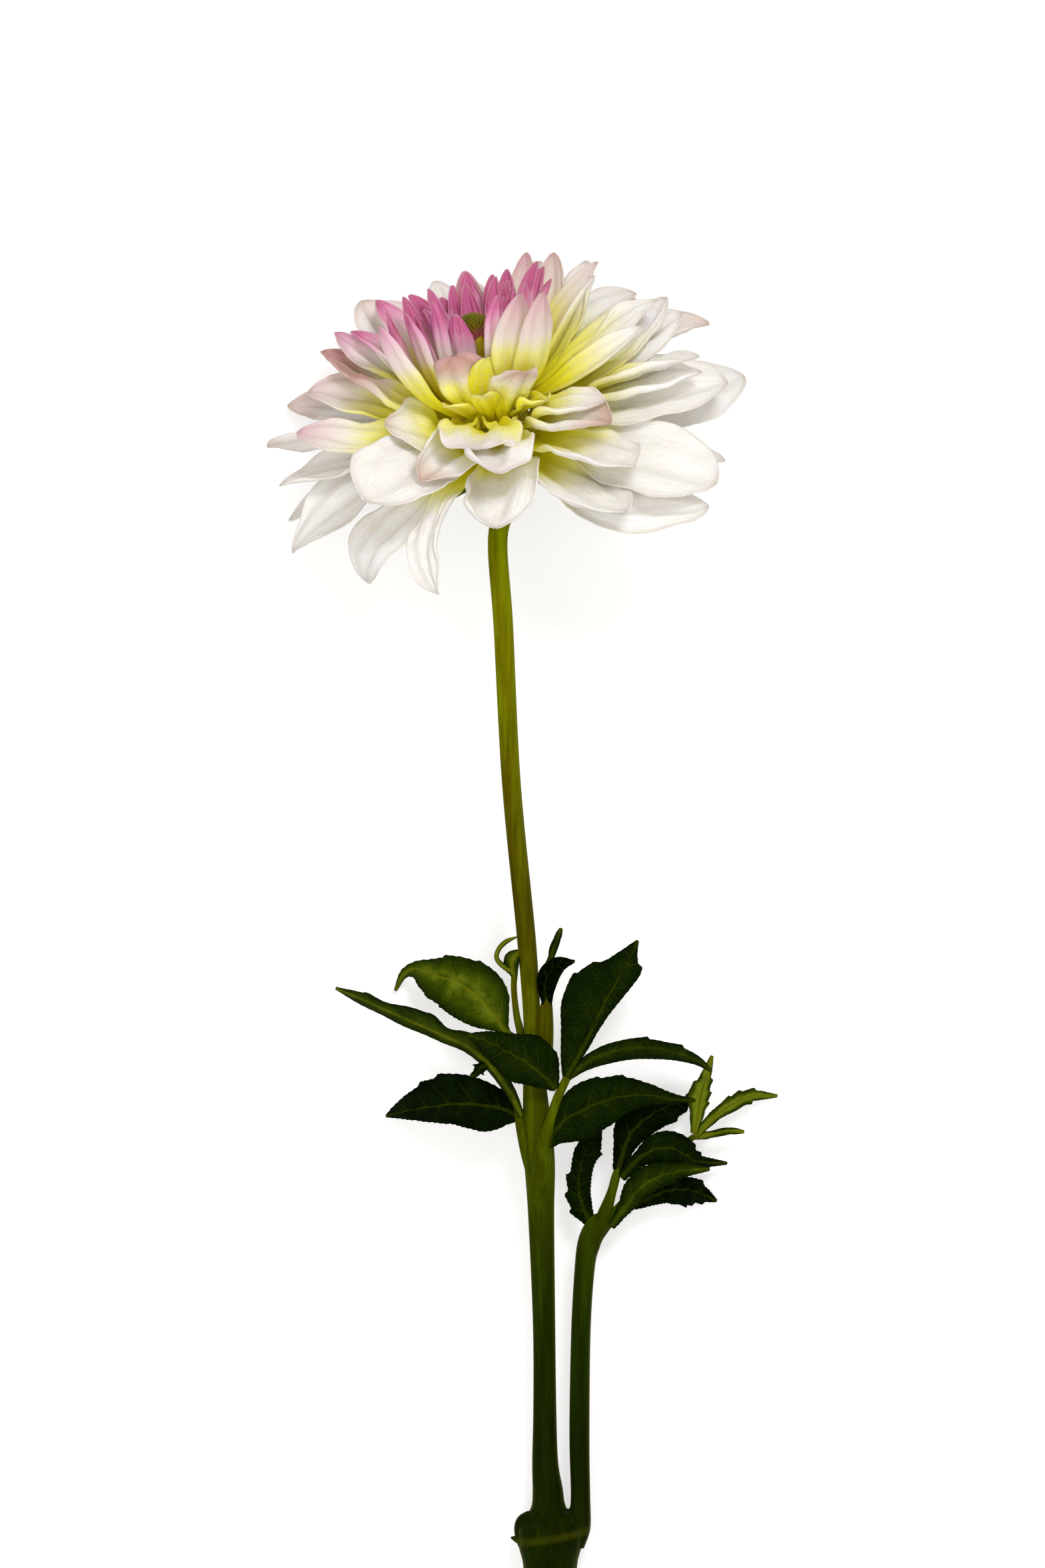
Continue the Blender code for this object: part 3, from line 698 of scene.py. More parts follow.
sizes = {"Scales": 150, "Dome Radius": 4.5 * MM, "Dome Height": 3.5 * MM, "Scale Size": 0.9 * MM}
bud_tree, given = geometry_tree("bud", sizes)
tree = bud_tree
turn = math.radians(137.508)  # the angle from one scale to the next, as in any such spiral
index = node(tree, "GeometryNodeInputIndex").outputs[0]
share = number(tree, "DIVIDE", number(tree, "ADD", index, 0.5), given["Scales"])
out = number(tree, "SQRT", share)
angle = number(tree, "MULTIPLY", index, turn)
radius = number(tree, "MULTIPLY", out, given["Dome Radius"])
height = number(tree, "MULTIPLY", number(tree, "SUBTRACT", 1.0, share), given["Dome Height"])
inputs = {0: number(tree, "MULTIPLY", number(tree, "COSINE", angle), radius)}
inputs[1] = number(tree, "MULTIPLY", number(tree, "SINE", angle), radius)
inputs[2] = height
spot = node(tree, "ShaderNodeCombineXYZ", inputs).outputs[0]
points = node(tree, "GeometryNodePoints", {0: given["Scales"], 1: spot}).outputs[0]
points = store(tree, points, "ripeness", share)
# The scales lean outwards, the more the further out they stand.
flat = node(tree, "ShaderNodeVectorMath", {0: spot, 1: (1.0, 1.0, 0.4)}, operation="MULTIPLY")
leaning = node(tree, "ShaderNodeVectorMath", {0: flat.outputs[0], 1: (0.0, 0.0, 5 * MM)})
inputs = {"Vector": leaning.outputs[0]}
facing = node(tree, "FunctionNodeAlignRotationToVector", inputs, axis="Z").outputs[0]
size = node(tree, "ShaderNodeCombineXYZ", {axis: given["Scale Size"] for axis in range(3)})
inputs = {"Points": points, "Instance": given["Geometry"], "Rotation": facing, "Scale": size.outputs[0]}
close_tree(tree, node(tree, "GeometryNodeInstanceOnPoints", inputs).outputs[0], given["Skin"])

bud_skin, tree, shader = surface("bud_green", 0.5, 0.3, subsurface=0.2)
mottle = noise(tree, in_metres(tree), 900)
ripe = number(tree, "MULTIPLY_ADD", mottle, 0.3, attribute(tree, "ripeness"))
stops = [(0.2, (0.17, 0.16, 0.004)), (0.7, (0.22, 0.15, 0.01)), (1.0, (0.40, 0.09, 0.12))]
grain = noise(tree, in_metres(tree), 2500)
finish_skin(tree, shader, ramp(tree, ripe, stops), grain, 0.1 * MM)


def ball(segments, rings):
    """A ball of radius 1 with a pole at each end of Z. Its faces come in the same order each run."""
    built = bmesh.new()
    top, bottom = built.verts.new((0, 0, 1)), built.verts.new((0, 0, -1))
    belts = []
    for ring in range(1, rings):
        out, up = math.sin(math.pi * ring / rings), math.cos(math.pi * ring / rings)
        turns = [math.tau * at / segments for at in range(segments)]
        belts.append([built.verts.new((out * math.cos(t), out * math.sin(t), up)) for t in turns])
    for at in range(segments):
        after = (at + 1) % segments
        built.faces.new((top, belts[0][at], belts[0][after]))
        for upper, lower in zip(belts, belts[1:]):
            built.faces.new((upper[at], lower[at], lower[after], upper[after]))
        built.faces.new((bottom, belts[-1][after], belts[-1][at]))
    return built


scale_mesh = ball(8, 6)
for corner in scale_mesh.verts:
    pinch = 1 - 0.55 * max(corner.co.z, 0)
    corner.co = (corner.co.x * pinch * 0.8, corner.co.y * pinch * 0.6, corner.co.z * 2.4)
bud = grown(mesh_object("bud", scale_mesh), bud_tree, bud_skin)
bud_seat = Matrix.Translation(Vector((HEAD_CENTRE + AXIS * BUD_HEIGHT) * MM))
bud_seat @= Vector(AXIS).to_track_quat("Z", "Y").to_matrix().to_4x4()
bud.data.transform(bud_seat)
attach(bud, "root")

cushion_mesh = ball(32, 20)
for corner in cushion_mesh.verts:
    x, y, z = corner.co
    spread = CUSHION_RADIUS - 0.8 * smooth(-z)
    depth = CUSHION_TOP if z > 0 else CUSHION_DEPTH
    corner.co = Vector((x * spread, y * spread, z * depth)) * MM
cushion = mesh_object("bud_cushion", cushion_mesh)
cushion.data.transform(bud_seat)
cushion.data.shade_smooth()
cushion.data.materials.append(flesh)
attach(cushion, "root")

# ---------------------------------------------------------------- bracts
# Green bracts on the back of the receptacle: narrow ones turned back along the stalk or standing
# out, and a ring of wider, papery ones pressed against the outer florets.
bract_skin, tree, shader = surface("bract_green", 0.5, 0.2, subsurface=0.1)
along, across = attribute(tree, "along"), attribute(tree, "across")
inputs = {0: number(tree, "MULTIPLY", across, 4.0), 1: along, 2: attribute(tree, "seed")}
stripes = noise(tree, node(tree, "ShaderNodeCombineXYZ", inputs).outputs[0], 3.0)
mixed = number(tree, "MULTIPLY_ADD", stripes, 0.6, number(tree, "MULTIPLY", along, 0.5))
stops = [(0.1, (0.20, 0.26, 0.02)), (0.5, (0.09, 0.15, 0.006)), (0.9, (0.13, 0.15, 0.02))]
finish_skin(tree, shader, ramp(tree, mixed, stops), stripes, 0.2 * MM)

BRACTS = [F(turn, 138, 19, 6.5, arch=34, blunt=1.6, ruffle=0.2) for turn in (-144, 144)]
BRACTS += [F(turn, 114, 13, 6.5, arch=20, blunt=1.6, ruffle=0.2) for turn in (-72, 0, 72)]
BRACTS += [F(turn, 96, 15, 9, arch=22, blunt=2, ruffle=0.2) for turn in range(-165, 180, 40)]
source = sheet_object("bracts", lay_row(BRACTS, 0))
bracts = grown(source, blade_tree, bract_skin, Wall=0.5 * MM)
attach(bracts, "root")

# ---------------------------------------------------------------- stems
# The main stem, from its cut foot below the swollen lower node to the neck of the bloom. It is
# grown round a route of stations (x, y, z and radius), and faint ribs run along it.
RECEPTACLE_BACK = 9.6  # from the head's centre back to where the stem meets the receptacle
MAIN_STEM = [
    (7.4, -185, 10.0, 7.4),
    (7.4, -177, 10.0, 7.5),
    (7.4, -171.5, 10.0, 8.8),
    (7.5, -167.5, 10.0, 9.4),
    (7.4, -164.6, 10.1, 8.6),
    (7.0, -162.4, 10.3, 5.8),
    (6.9, -160, 10.5, 4.6),
    (6.7, -156, 10.9, 4.2),
    (6.0, -148, 11.8, 3.6),
    (5.9, -133, 13.4, 3.2),
    (5.7, -110, 15.8, 3.1),
    (4.9, -80, 18.9, 3.6),
    (4.5, -66, 20.3, 4.2),
    (3.9, -57, 21.2, 4.1),
    (2.9, -40, 23.0, 3.0),
    (2.4, -26, 24.4, 2.4),
    (0.8, -3, 26.8, 2.6),
    (-3.3, 39.3, 31.1, 2.6),
    (-5.5, 82.4, 35.3, 2.7),
    (-7.0, 106.8, 36.2, 2.7),
]
MAIN_STEM += [(*(HEAD_CENTRE - AXIS * (RECEPTACLE_BACK + back)), 2.8) for back in (10, 4, 0.3)]


def smooth_route(stations, steps=8):
    """Points on a Catmull-Rom curve through the stations, steps to each span."""
    stations = np.array(stations, dtype=float)
    padded = np.vstack([2 * stations[0] - stations[1], stations, 2 * stations[-1] - stations[-2]])
    points = []
    for before, start, end, after in zip(padded, padded[1:], padded[2:], padded[3:]):
        for t in np.arange(steps) / steps:
            points.append(
                start
                + 0.5 * t * (end - before)
                + t**2 * (before - 2.5 * start + 2 * end - 0.5 * after)
                + 0.5 * t**3 * (3 * start - 3 * end + after - before)
            )
    return np.array(points + [stations[-1]])


def route_object(name, routes):
    """Smooth lines through stations of x, y, z and radius, as one curve object."""
    data = bpy.data.curves.new(name, "CURVE")
    data.dimensions = "3D"
    for stations in routes:
        route = smooth_route(stations)
        line = data.splines.new("POLY")
        line.points.add(len(route) - 1)
        for point, (x, y, z, radius) in zip(line.points, route):
            point.co = (x * MM, y * MM, z * MM, 1)
            point.radius = radius
    return add_object(name, data)


stalk_tree, given = geometry_tree("stalk", {"Sides": 28, "Ribs": 7.0, "Rib Depth": 0.06 * MM})
tree = stalk_tree
inputs = {"Resolution": given["Sides"], "Radius": MM}
circle = node(tree, "GeometryNodeCurvePrimitiveCircle", inputs).outputs[0]
circle = store(tree, circle, "around", node(tree, "GeometryNodeSplineParameter").outputs["Factor"])
radius = node(tree, "GeometryNodeInputRadius").outputs[0]
inputs = {"Curve": given["Geometry"], "Profile Curve": circle, "Scale": radius, "Fill Caps": True}
tube = node(tree, "GeometryNodeCurveToMesh", inputs).outputs[0]
around = number(tree, "MULTIPLY", read_back(tree, "around"), given["Ribs"])
wave = number(tree, "COSINE", number(tree, "MULTIPLY", around, math.tau))
ribbed = moved_out(tree, tube, number(tree, "MULTIPLY", wave, given["Rib Depth"]))
welded = node(tree, "GeometryNodeMergeByDistance", {0: ribbed, "Distance": 1e-6}).outputs[0]
close_tree(tree, welded, given["Skin"])

stem_skin, tree, shader = surface("stem_skin", 0.5, 0.01, subsurface=0.1)
place = node(tree, "ShaderNodeSeparateXYZ", {0: in_metres(tree)}).outputs
stretched = node(tree, "ShaderNodeMapping", {"Vector": in_metres(tree), "Scale": (1, 0.05, 1)})
bands = noise(tree, stretched.outputs[0], 380, 2.0)
streaks = noise(tree, stretched.outputs[0], 1000, 3.0)
speckle = noise(tree, in_metres(tree), 1400, 2.0)
# From the foot (0) to the receptacle (1), 330 mm further on.
position = number(tree, "MULTIPLY", number(tree, "ADD", place["Y"], 190 * MM), 3.03)
# Painted shade: the green is darkest towards the foot, standing in for the light that falls off there. It
# darkens again just before the receptacle.
green = ramp(
    tree,
    position,
    [
        (0.0, (0.009, 0.018, 0.0001)),
        (0.14, (0.009, 0.018, 0.0001)),
        (0.28, (0.018, 0.034, 0.0002)),
        (0.36, (0.050, 0.080, 0.0005)),
        (0.48, (0.095, 0.110, 0.0008)),
        (0.60, (0.078, 0.074, 0.0005)),
        (0.71, (0.125, 0.13, 0.0008)),
        (0.79, (0.185, 0.205, 0.001)),
        (0.92, (0.21, 0.235, 0.001)),
        (0.97, (0.07, 0.09, 0.0006)),
    ],
)
dim = blend(tree, 1.0, green, (0.80, 0.66, 0.3), "MULTIPLY")
green = blend(tree, rise(tree, bands, 0.42, 0.60), green, dim)
fresh = blend(tree, 1.0, green, (1.3, 1.35, 1.0), "MULTIPLY")
green = blend(tree, rise(tree, bands, 0.44, 0.30), green, fresh)
dim = blend(tree, 1.0, green, (0.6, 0.65, 0.3), "MULTIPLY")
mixed = number(tree, "MULTIPLY_ADD", speckle, 0.3, number(tree, "MULTIPLY", streaks, 0.7))
green = blend(tree, number(tree, "MULTIPLY", rise(tree, mixed, 0.42, 0.66), 0.7), green, dim)
# Painted light: where the surface faces sideways the green is lightened, a lit edge along each flank.
normal = node(tree, "ShaderNodeNewGeometry").outputs["Normal"]
facing = node(tree, "ShaderNodeSeparateXYZ", {0: normal}).outputs
flank_painted_light = rise(tree, number(tree, "ABSOLUTE", facing["X"]), 0.78, 0.98, 0.0, 0.75)
green = blend(tree, flank_painted_light, green, blend(tree, 1.0, green, (0.035, 0.042, 0.001), "ADD"))
# The pale line across each node, and the pale pith of the cut foot.
for height, slope in ((-170.2, 0.16), (-70.5, 0.05)):
    line = number(tree, "MULTIPLY_ADD", place["X"], -slope, place["Y"])
    line = number(tree, "ABSOLUTE", number(tree, "SUBTRACT", line, height * MM))
    line = number(tree, "MULTIPLY", rise(tree, line, 0.2 * MM, 1.8 * MM, 0.8, 0.0), streaks)
    green = blend(tree, line, green, (0.060, 0.066, 0.001))
cut = rise(tree, place["Y"], -184.9 * MM, -184.8 * MM, 1.0, 0.0)
green = blend(tree, cut, green, (0.42, 0.45, 0.16))
finish_skin(tree, shader, green, number(tree, "ADD", streaks, speckle), 0.12 * MM)

# The stub and the spur of a leaf that has fallen from the lower node.
SCAR = [(4.0, -172, 10.0, 5.0), (1.6, -168.6, 10.3, 4.0), (1.0, -165.6, 10.6, 3.4)]
SCAR += [(1.8, -163.4, 10.8, 2.0), (2.6, -162.2, 10.8, 0.6)]
SPUR = [(0.0, -170.4, 10.4, 1.4), (-2.0, -169.7, 10.7, 0.9), (-3.4, -169.2, 11.0, 0.2)]
source = route_object("stem", [MAIN_STEM, SCAR, SPUR])
stem = grown(source, stalk_tree, stem_skin)
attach(stem, "root")
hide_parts("main_stem")

# ---------------------------------------------------------------- stalks
# The side shoot, the leaf stalks and the two short sprigs above the upper node. They are of the
# same green flesh as the stem, grown in the same way, and each one's foot is sunk in what bears it.
STALKS = {
    "side_shoot": [
        (13.0, -171.0, 10.0, 4.0),
        (14.6, -166.4, 10.2, 4.0),
        (15.5, -162.6, 10.4, 3.2),
        (15.8, -158, 10.5, 2.7),
        (15.5, -140, 11.0, 2.8),
        (15.9, -112, 11.8, 2.7),
        (17.0, -94, 12.6, 2.8),
        (18.2, -87.5, 13.0, 3.2),
        (19.8, -83.5, 13.2, 3.1),
        (20.8, -81.0, 13.3, 2.2),
        (21.4, -79.6, 13.4, 0.8),
    ],
    "left_petiole": [
        (3.6, -72, 20.0, 1.6),
        (1.0, -63, 21.6, 1.6),
        (-0.8, -55, 23.6, 1.3),
        (-1.6, -50, 24.8, 1.0),
        (-3.4, -45.6, 25.4, 0.9),
    ],
    "right_petiole": [
        (4.6, -84, 17.6, 1.8),
        (4.8, -76, 20.6, 2.2),
        (5.0, -68, 23.2, 2.4),
        (5.6, -61, 25.7, 2.2),
        (7.0, -55, 27.8, 1.7),
        (9.0, -48, 29.0, 1.3),
        (10.4, -44.5, 29.6, 1.2),
        (12.0, -41.2, 29.9, 1.1),
    ],
    "left_sprig": [
        (0.4, -36, 21.6, 1.2),
        (-0.8, -29, 22.4, 1.1),
        (-1.9, -24, 23.3, 0.9),
        (-2.6, -17, 24.5, 0.8),
        (-2.4, -12.4, 25.5, 0.9),
    ],
    "right_sprig": [
        (3.6, -46, 21.4, 1.6),
        (5.2, -36, 22.8, 2.6),
        (5.6, -29, 23.6, 2.7),
        (6.2, -23, 24.6, 1.9),
        (6.6, -19, 25.3, 1.1),
    ],
    "side_petiole_upper": [
        (18.6, -90.0, 13.0, 1.6),
        (21.2, -83.0, 13.6, 2.2),
        (22.6, -79.0, 14.0, 1.9),
        (24.4, -73.5, 14.6, 1.3),
        (25.6, -69.0, 14.5, 1.2),
        (26.8, -64.5, 13.2, 0.5),
    ],
    "side_petiole_lower": [
        (19.8, -87.6, 12.8, 1.2),
        (23.6, -81.4, 12.6, 1.7),
        (27.0, -77.4, 12.4, 1.3),
        (32, -71.8, 12.0, 1.1),
        (37, -66.8, 11.4, 1.0),
        (42, -62.2, 10.8, 0.9),
        (47.4, -58.2, 10.4, 0.8),
    ],
}
for name, stations in STALKS.items():
    stalk = grown(route_object(f"{name}_stalk", [stations]), stalk_tree, stem_skin, Sides=20)
    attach(stalk, "root")
    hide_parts(name)


# ---------------------------------------------------------------- leaves
# Toothed leaflets on their stalks, thin blades with a sunken midrib and side veins between which
# they swell. Those on the main stem are old and dark, those at the side shoot's tip light.
LEAF_ROWS, LEAF_COLUMNS = 96, 32
LEAF_WALL = 0.4
NARROWEST = 0.08  # half width that is left at a tip
SAW_TEETH = 23  # small teeth along an edge
TOOTH_RISE, TOOTH_DROP = 0.11, 0.016  # the two sides of a large tooth, as shares of the length
RIB_WIDTH = 0.75  # half width of the midrib at the foot
VEIN_WIDTH = 0.42  # half width of a side vein
FULL_SWELL = 6  # half width from which a leaflet swells in full


@dataclass
class Leaflet:
    """Stations run from foot to tip: x, y, z, and the half widths to the left and right of the
    way there, as seen from above. tilt is how steeply each half rises from the midrib. teeth
    holds the shares of the length at which each edge has a large tooth, bite is their size and
    saw that of the small ones between. wave is how far the edges wave, swell how far the blade
    rises between its side veins, and veins how many there are. tone is dark (0) to light (1)."""

    stations: list
    tilt: tuple = (16, 16)
    teeth: tuple = ((), ())
    bite: float = 1.0
    saw: float = 0.25
    wave: float = 0.5
    swell: float = 1.0
    veins: float = 7
    tone: float = 0.3


LEAFLETS = {
    "left_leaflet_upper": Leaflet(
        [
            (-2.5, -30.5, 22.5, 0.7, 0.7),
            (-5.0, -28.5, 22.5, 1.2, 1.2),
            (-7.5, -25.0, 22.0, 5.0, 4.2),
            (-9.5, -22.5, 21.5, 6.8, 7.0),
            (-13.0, -19.0, 20.0, 8.3, 8.3),
            (-18.0, -15.5, 17.5, 8.3, 7.2),
            (-24.0, -13.5, 14.0, 6.2, 5.0),
            (-29.5, -11.7, 9.5, 3.2, 1.8),
            (-33.0, -13.3, 6.5, 1.0, 1.0),
            (-35.5, -18.0, 1.6, 0.1, 0.1),
        ],
        tilt=(-14, 10),
        teeth=((0.52, 0.62), (0.42, 0.58)),
        tone=0.78,
        veins=6,
    ),
    "left_leaflet_long": Leaflet(
        [
            (-0.5, -52.0, 25.9, 0.9, 0.9),
            (-3.5, -45.5, 25.6, 1.2, 1.6),
            (-8.5, -38.5, 24.0, 1.4, 2.4),
            (-15.0, -33.0, 22.0, 1.6, 3.8),
            (-21.5, -30.0, 19.5, 2.0, 2.2),
            (-26.0, -28.0, 17.5, 2.0, 3.6),
            (-32.0, -25.5, 14.5, 2.2, 3.4),
            (-38.5, -22.8, 11.0, 1.7, 1.8),
            (-45.0, -20.0, 6.5, 1.5, 1.5),
            (-52.0, -17.5, 2.0, 0.1, 0.1),
        ],
        tilt=(-52, 40),
        teeth=((), (0.35, 0.56, 0.86)),
        bite=0.6,
        saw=0.1,
        swell=0.5,
        tone=0.62,
    ),
    "left_leaflet_lower": Leaflet(
        [
            (-0.8, -52.6, 23.8, 0.9, 0.9),
            (-4.0, -50.7, 23.6, 4.6, 3.4),
            (-8.5, -49.5, 22.6, 6.8, 5.5),
            (-13.0, -49.0, 21.0, 6.8, 7.2),
            (-19.0, -49.0, 18.0, 5.6, 8.2),
            (-25.5, -50.0, 13.5, 4.2, 7.0),
            (-32.0, -51.2, 8.0, 2.4, 3.8),
            (-38.0, -53.0, 1.6, 0.1, 0.1),
        ],
        tilt=(8, -12),
        teeth=((), (0.52, 0.66)),
        bite=1.3,
        tone=0.1,
        veins=6,
    ),
    "front_leaflet": Leaflet(
        [
            (9.0, -44.2, 30.0, 0.8, 0.8),
            (6.8, -42.0, 31.5, 2.6, 4.2),
            (3.5, -39.0, 33.3, 4.8, 7.2),
            (-0.5, -36.2, 34.5, 6.4, 7.6),
            (-5.0, -33.6, 34.3, 5.2, 5.0),
            (-10.0, -31.2, 33.0, 3.2, 2.7),
            (-15.0, -29.5, 30.5, 0.1, 0.1),
        ],
        tilt=(14, -22),
        teeth=((), (0.25, 0.45)),
        bite=0.7,
        tone=0.33,
    ),
    "right_leaflet_upper": Leaflet(
        [
            (11.6, -41.8, 30.0, 0.8, 0.8),
            (14.0, -37.0, 29.6, 4.2, 1.0),
            (17.0, -31.5, 28.8, 7.4, 1.4),
            (20.5, -24.5, 27.3, 11.0, 2.2),
            (24.0, -18.0, 25.2, 10.6, 3.5),
            (27.5, -12.0, 22.8, 5.6, 4.2),
            (30.0, -7.0, 20.0, 2.2, 1.3),
            (31.5, -4.0, 18.0, 0.1, 0.1),
        ],
        tilt=(18, -8),
        teeth=((0.60, 0.72), (0.84,)),
        bite=1.5,
        saw=0.15,
        tone=0.3,
        veins=6,
    ),
    "right_leaflet_middle": Leaflet(
        [
            (12.0, -41.4, 29.8, 0.8, 0.8),
            (17.0, -37.7, 29.0, 1.8, 1.6),
            (23.0, -34.8, 28.0, 2.3, 2.6),
            (30.0, -33.4, 26.0, 2.7, 2.8),
            (37.0, -33.7, 23.0, 2.4, 2.6),
            (42.5, -35.0, 20.0, 1.9, 1.9),
            (48.0, -37.2, 16.5, 1.1, 1.1),
            (52.0, -40.0, 13.0, 0.1, 0.1),
        ],
        tilt=(-20, 50),
        teeth=((0.52, 0.74), ()),
        bite=0.8,
        saw=0.1,
        swell=0.6,
        tone=0.4,
    ),
    "right_leaflet_lower": Leaflet(
        [
            (6.8, -60.2, 27.2, 0.9, 0.9),
            (8.2, -56.6, 28.2, 2.0, 4.6),
            (11.5, -52.7, 28.5, 4.4, 7.8),
            (16.5, -50.0, 27.5, 6.8, 7.6),
            (22.0, -47.8, 25.5, 6.4, 6.8),
            (28.5, -46.4, 22.0, 5.0, 4.6),
            (34.5, -46.4, 18.5, 3.0, 2.8),
            (40.5, -47.6, 14.0, 1.4, 1.2),
            (47.5, -48.3, 10.5, 0.1, 0.1),
        ],
        tilt=(12, -14),
        teeth=((0.42, 0.55), ()),
        tone=0.3,
    ),
    "right_sprig_leaf": Leaflet(
        [
            (6.6, -22.0, 25.3, 1.1, 1.1),
            (5.9, -17.0, 26.3, 1.9, 2.9),
            (6.7, -13.0, 26.5, 2.6, 3.4),
            (9.8, -10.2, 26.0, 2.2, 2.4),
            (14.0, -9.4, 24.0, 0.1, 0.1),
        ],
        tilt=(48, 40),
        saw=0.0,
        tone=0.0,
    ),
    "side_leaf_inner": Leaflet(
        [
            (19.4, -83.5, 13.0, 1.0, 1.0),
            (16.6, -77.5, 13.5, 3.0, 2.4),
            (15.4, -72.0, 13.5, 3.0, 3.2),
            (16.0, -67.0, 13.0, 2.6, 3.2),
            (17.0, -63.0, 12.0, 2.8, 3.6),
            (19.0, -59.5, 10.5, 1.8, 3.0),
            (21.5, -56.5, 9.0, 0.1, 0.1),
        ],
        tilt=(-20, 26),
        teeth=((0.22, 0.36, 0.5), (0.8,)),
        bite=1.1,
        tone=0.2,
    ),
    "side_leaf_top": Leaflet(
        [
            (26.2, -67.5, 14.6, 1.4, 1.4),
            (27.8, -61.5, 13.8, 2.8, 2.6),
            (30.0, -56.8, 12.0, 5.0, 4.2),
            (34.5, -52.8, 10.0, 3.8, 4.6),
            (40.5, -49.8, 8.0, 2.4, 4.2),
            (47.7, -48.0, 5.0, 0.1, 0.1),
        ],
        tilt=(10, -20),
        teeth=((), (0.78, 0.9)),
        tone=0.08,
    ),
    "side_leaf_upper": Leaflet(
        [
            (27.0, -69.5, 14.9, 1.2, 1.2),
            (32.0, -64.0, 15.0, 1.8, 2.4),
            (37.5, -61.2, 14.5, 4.2, 4.0),
            (42.5, -61.8, 13.5, 4.4, 4.2),
            (48.0, -65.0, 10.5, 1.8, 1.8),
            (56.5, -66.0, 4.5, 0.1, 0.1),
        ],
        tilt=(10, -16),
        teeth=((0.62, 0.72), (0.7,)),
        tone=0.2,
    ),
    "side_leaf_long": Leaflet(
        [
            (24.3, -83.0, 13.6, 1.0, 1.0),
            (28.0, -78.0, 15.6, 1.8, 1.6),
            (32.0, -72.7, 16.6, 4.0, 2.8),
            (37.0, -69.4, 17.0, 4.0, 2.8),
            (43.5, -67.6, 17.0, 2.2, 1.7),
            (51.5, -67.0, 16.4, 0.1, 0.1),
        ],
        tilt=(-30, 12),
        teeth=((), (0.7,)),
        tone=0.45,
    ),
    "side_leaf_lower": Leaflet(
        [
            (30.5, -77.5, 12.0, 1.0, 1.0),
            (37.0, -74.3, 10.5, 1.8, 2.6),
            (41.0, -73.2, 9.0, 2.8, 3.8),
            (46.0, -73.2, 6.5, 3.4, 4.2),
            (50.0, -74.6, 4.0, 1.8, 2.2),
            (53.7, -76.6, 1.6, 0.1, 0.1),
        ],
        tilt=(8, -16),
        teeth=((0.75,), (0.62, 0.74, 0.86)),
        tone=0.08,
    ),
    "side_tip_leaf": Leaflet(
        [
            (47.3, -57.5, 10.6, 0.9, 0.9),
            (48.5, -51.5, 10.0, 2.4, 1.6),
            (49.2, -47.5, 9.0, 3.8, 2.2),
            (50.6, -42.5, 7.5, 1.9, 1.4),
            (52.4, -36.2, 5.0, 0.1, 0.1),
        ],
        tilt=(18, 18),
        teeth=((0.45, 0.62), (0.4, 0.55, 0.7)),
        bite=0.8,
        saw=0.1,
        tone=1.0,
    ),
    "side_end_leaf": Leaflet(
        [
            (47.6, -58.2, 10.4, 0.8, 0.8),
            (53.0, -52.8, 9.5, 1.6, 1.3),
            (58.0, -49.6, 7.8, 2.2, 1.9),
            (63.0, -47.5, 5.0, 1.8, 1.4),
            (70.6, -47.4, 1.6, 0.1, 0.1),
        ],
        tilt=(18, 14),
        teeth=((0.5, 0.62, 0.75), (0.7,)),
        bite=0.8,
        saw=0.1,
        tone=0.9,
    ),
}
# Small ones that have no solid in the frame.
SMALL_LEAFLETS = {
    "left_sprig_leaf": Leaflet(
        [
            (-2.4, -13.5, 25.6, 0.8, 0.8),
            (-2.9, -11.2, 26.6, 1.8, 1.6),
            (-2.6, -8.8, 27.2, 2.3, 1.6),
            (-0.6, -6.4, 25.8, 0.1, 0.1),
        ],
        tilt=(-50, 40),
        saw=0.0,
        tone=0.75,
    ),
    "left_sprig_tendril": Leaflet(
        [
            (-2.4, -12.4, 25.6, 0.6, 0.6),
            (-5.0, -11.0, 26.4, 0.7, 0.7),
            (-7.2, -8.6, 27.0, 0.6, 0.6),
            (-6.6, -6.0, 27.2, 0.6, 0.6),
            (-4.6, -4.0, 27.0, 0.6, 0.6),
            (-1.8, -2.8, 26.6, 0.2, 0.2),
        ],
        tilt=(-20, 20),
        saw=0.0,
        wave=0.0,
        swell=0.0,
        tone=0.85,
    ),
    "right_sprig_blade": Leaflet(
        [
            (6.0, -11.2, 26.6, 0.5, 0.5),
            (7.4, -9.0, 26.6, 0.7, 0.8),
            (8.2, -6.0, 26.2, 1.1, 1.2),
            (9.4, -3.0, 25.6, 0.9, 1.0),
            (10.4, -0.4, 24.6, 0.1, 0.1),
        ],
        tilt=(30, 30),
        saw=0.0,
        tone=0.5,
    ),
    "left_lobe": Leaflet(
        [
            (-9.6, -37.6, 23.4, 0.6, 0.6),
            (-11.8, -38.8, 22.2, 1.6, 1.4),
            (-13.0, -40.4, 21.0, 0.8, 1.0),
            (-14.4, -41.2, 20.4, 0.1, 0.1),
        ],
        saw=0.0,
        teeth=((0.6,), (0.5,)),
        tone=0.2,
    ),
    "side_tiny_leaf": Leaflet(
        [
            (47.2, -58.6, 10.3, 0.6, 0.6),
            (52.5, -57.5, 10.0, 0.9, 1.1),
            (56.5, -56.7, 9.4, 0.9, 1.2),
            (61.2, -57.1, 8.0, 0.1, 0.1),
        ],
        saw=0.0,
        tone=0.85,
    ),
}


def along_route(stations, shares):
    """Values on a smooth curve through the stations, at shares of its length."""
    fine = smooth_route(stations, 12)
    gone = np.concatenate([[0], np.cumsum(np.linalg.norm(np.diff(fine[:, :3], axis=0), axis=1))])
    return np.array([np.interp(shares * gone[-1], gone, column) for column in fine.T]).T, gone[-1]


def tooth(u, place):
    """Rises towards the tip and drops back past the tooth's point."""
    rising = np.clip((u - place + TOOTH_RISE) / TOOTH_RISE, 0, 1) ** 1.5
    return rising * (1 - smooth((u - place) / TOOTH_DROP))


